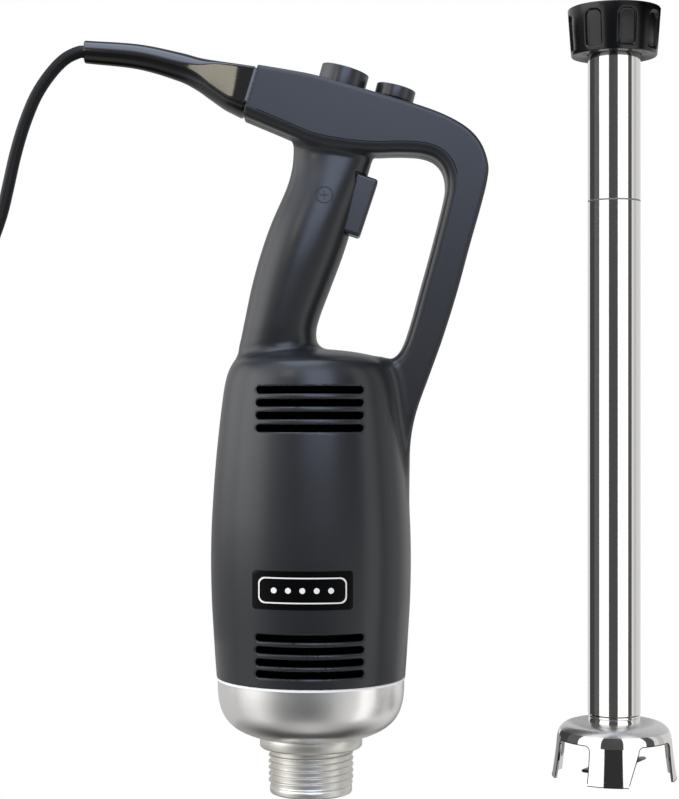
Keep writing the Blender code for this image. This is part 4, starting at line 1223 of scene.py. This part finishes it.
def card(name, centre, size, turn, level, tilt=90):
    """A studio card seen only in polished surfaces, and only from its front."""
    bpy.ops.mesh.primitive_plane_add(size=1.0, location=centre)
    obj = bpy.context.object
    obj.name = name
    obj.scale = (*size, 1)
    obj.rotation_euler = (math.radians(tilt), 0, math.radians(turn))
    obj.visible_camera = False
    obj.visible_diffuse = False
    obj.visible_shadow = False
    look = bpy.data.materials.new(name)
    look.use_nodes = True
    tree = look.node_tree
    tree.nodes.clear()
    light = add_node(tree, "Emission", {"Color": rgba(level)}).outputs[0]
    clear = add_node(tree, "BsdfTransparent").outputs[0]
    behind = add_node(tree, "NewGeometry").outputs["Backfacing"]
    pick = add_node(tree, "MixShader", feeds={0: behind, 1: light, 2: clear})
    add_node(tree, "OutputMaterial", feeds={"Surface": pick.outputs[0]})
    obj.data.materials.append(look)


# Rings of cards round the shaft, from one height to another in metres. Each card spans two compass
# directions from the front, at a distance, with its brightness.
CARD_RINGS = {
    "bell_card": (-0.12, 0.05, [(-160, -131, 0.10, 0.32), (-131, -95, 0.10, 0.07), (-95, -70, 0.10, 0.14),
                                (-70, -25.1, 0.10, 1.4), (-25.1, 5.5, 0.10, 0.035), (5.5, 51.6, 0.13, 1.4)]),
    "bell_side_card": (-0.12, 0.004, [(51.6, 100, 0.13, 0.35), (100, 160, 0.13, 0.70)]),
    "tube_card": (0.019, 0.387, [(-160, -131, 0.062, 0.82), (-131, -95, 0.062, 0.06),
                                 (-95, -70, 0.062, 0.12), (-70, -29.4, 0.062, 1.4),
                                 (-29.4, 5.7, 0.062, 0.080), (5.7, 51.6, 0.13, 1.4)]),
    "tube_side_card": (0.004, 0.387, [(51.6, 70, 0.13, 0.10), (70, 82, 0.13, 0.80), (82, 98, 0.13, 0.60),
                                      (98, 130, 0.13, 0.75), (130, 160, 0.13, 0.80)]),
    "nut_card": (0.387, 0.46, [(-160, -125, 0.12, 0.8), (-125, -90, 0.12, 0.8), (-90, -42, 0.12, 2.2),
                               (-42, -12, 0.12, 0.55), (-12, 45, 0.12, 0.25), (45, 85, 0.12, 0.0),
                               (85, 125, 0.12, 0.0), (125, 188, 0.12, 0.0)]),
}


def card_ring(name, low, high, bands):
    for number, (start, end, reach, level) in enumerate(bands, start=1):
        degrees, half = (start + end) / 2, math.radians((end - start) / 2)
        angle = math.radians(degrees)
        centre = SHAFT + Vector((reach * math.sin(angle), -reach * math.cos(angle), (low + high) / 2))
        size = (2 * reach * math.tan(half), high - low)
        card("%s_%d" % (name, number), centre, size, degrees + 180, level)


def studio_cards():
    """Bands for the polished shaft, and boxes of light for the housing, the boot and the nose."""
    for name, ring in CARD_RINGS.items():
        card_ring(name, *ring)
    card("front_box", (0.30, -1.5, 1.15), (1.10, 1.30), 180, (2.8, 3.2, 4.3))
    card("top_box", (-0.09, -0.12, 0.62), (0.30, 0.34), 0, (2.9, 3.3, 4.1), tilt=180)
    card("warm_box", (-0.243, -0.333, 0.460), (0.080, 0.075), 153, (5.6, 5.2, 4.3))
    card("nose_fill", (-0.114, 0.026, 0.03), (0.10, 0.07), 65, 0.55)


def camera():
    lens = bpy.data.cameras.new("camera")
    lens.lens = 81.1
    lens.sensor_width = 36.0
    lens.clip_end = 20.0
    eye = bpy.data.objects.new("camera", lens)
    bpy.context.scene.collection.objects.link(eye)
    eye.location = MOTOR + Vector((13.8, -873.0, 190.0)) * MM
    eye.rotation_euler = (math.radians(90), 0, 0)
    bpy.context.scene.camera = eye
    bpy.context.scene.view_settings.view_transform = 'Standard'


def paint_cad_nodes():
    """Every CAD node that still shows gets the look of its slot."""
    for part in frame["record"]["subparts"]:
        for slot in frame["nodes"][part["node"]].material_slots:
            slot.link = 'OBJECT'
            slot.material = LOOKS[part["material_slot"]]


def return_spring(node):
    """A coil spring, copied from its CAD node, that stands on its switch."""
    mesh = frame["nodes"][node].data.copy()
    mesh.materials.clear()
    spring = object_from(node + "_coil", mesh)
    finish_piece(spring, "spring_steel", "motor_unit", [node])
    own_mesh(spring)


stage()
world()
camera()
studio_cards()
paint_cad_nodes()
mains_lead()
cord_boot()
outline = Housing()
housing(outline)
vent_shade_sheets()
housing_screws()
nose()
drive_socket()
badge()
power_symbol(outline)
loop_grooves()
controls()
return_spring("enable_button_spring")
return_spring("trigger_spring")
outer_tube()
shaft_hub()
locking_nut()
bell_guard()
bell_edges()
blade()
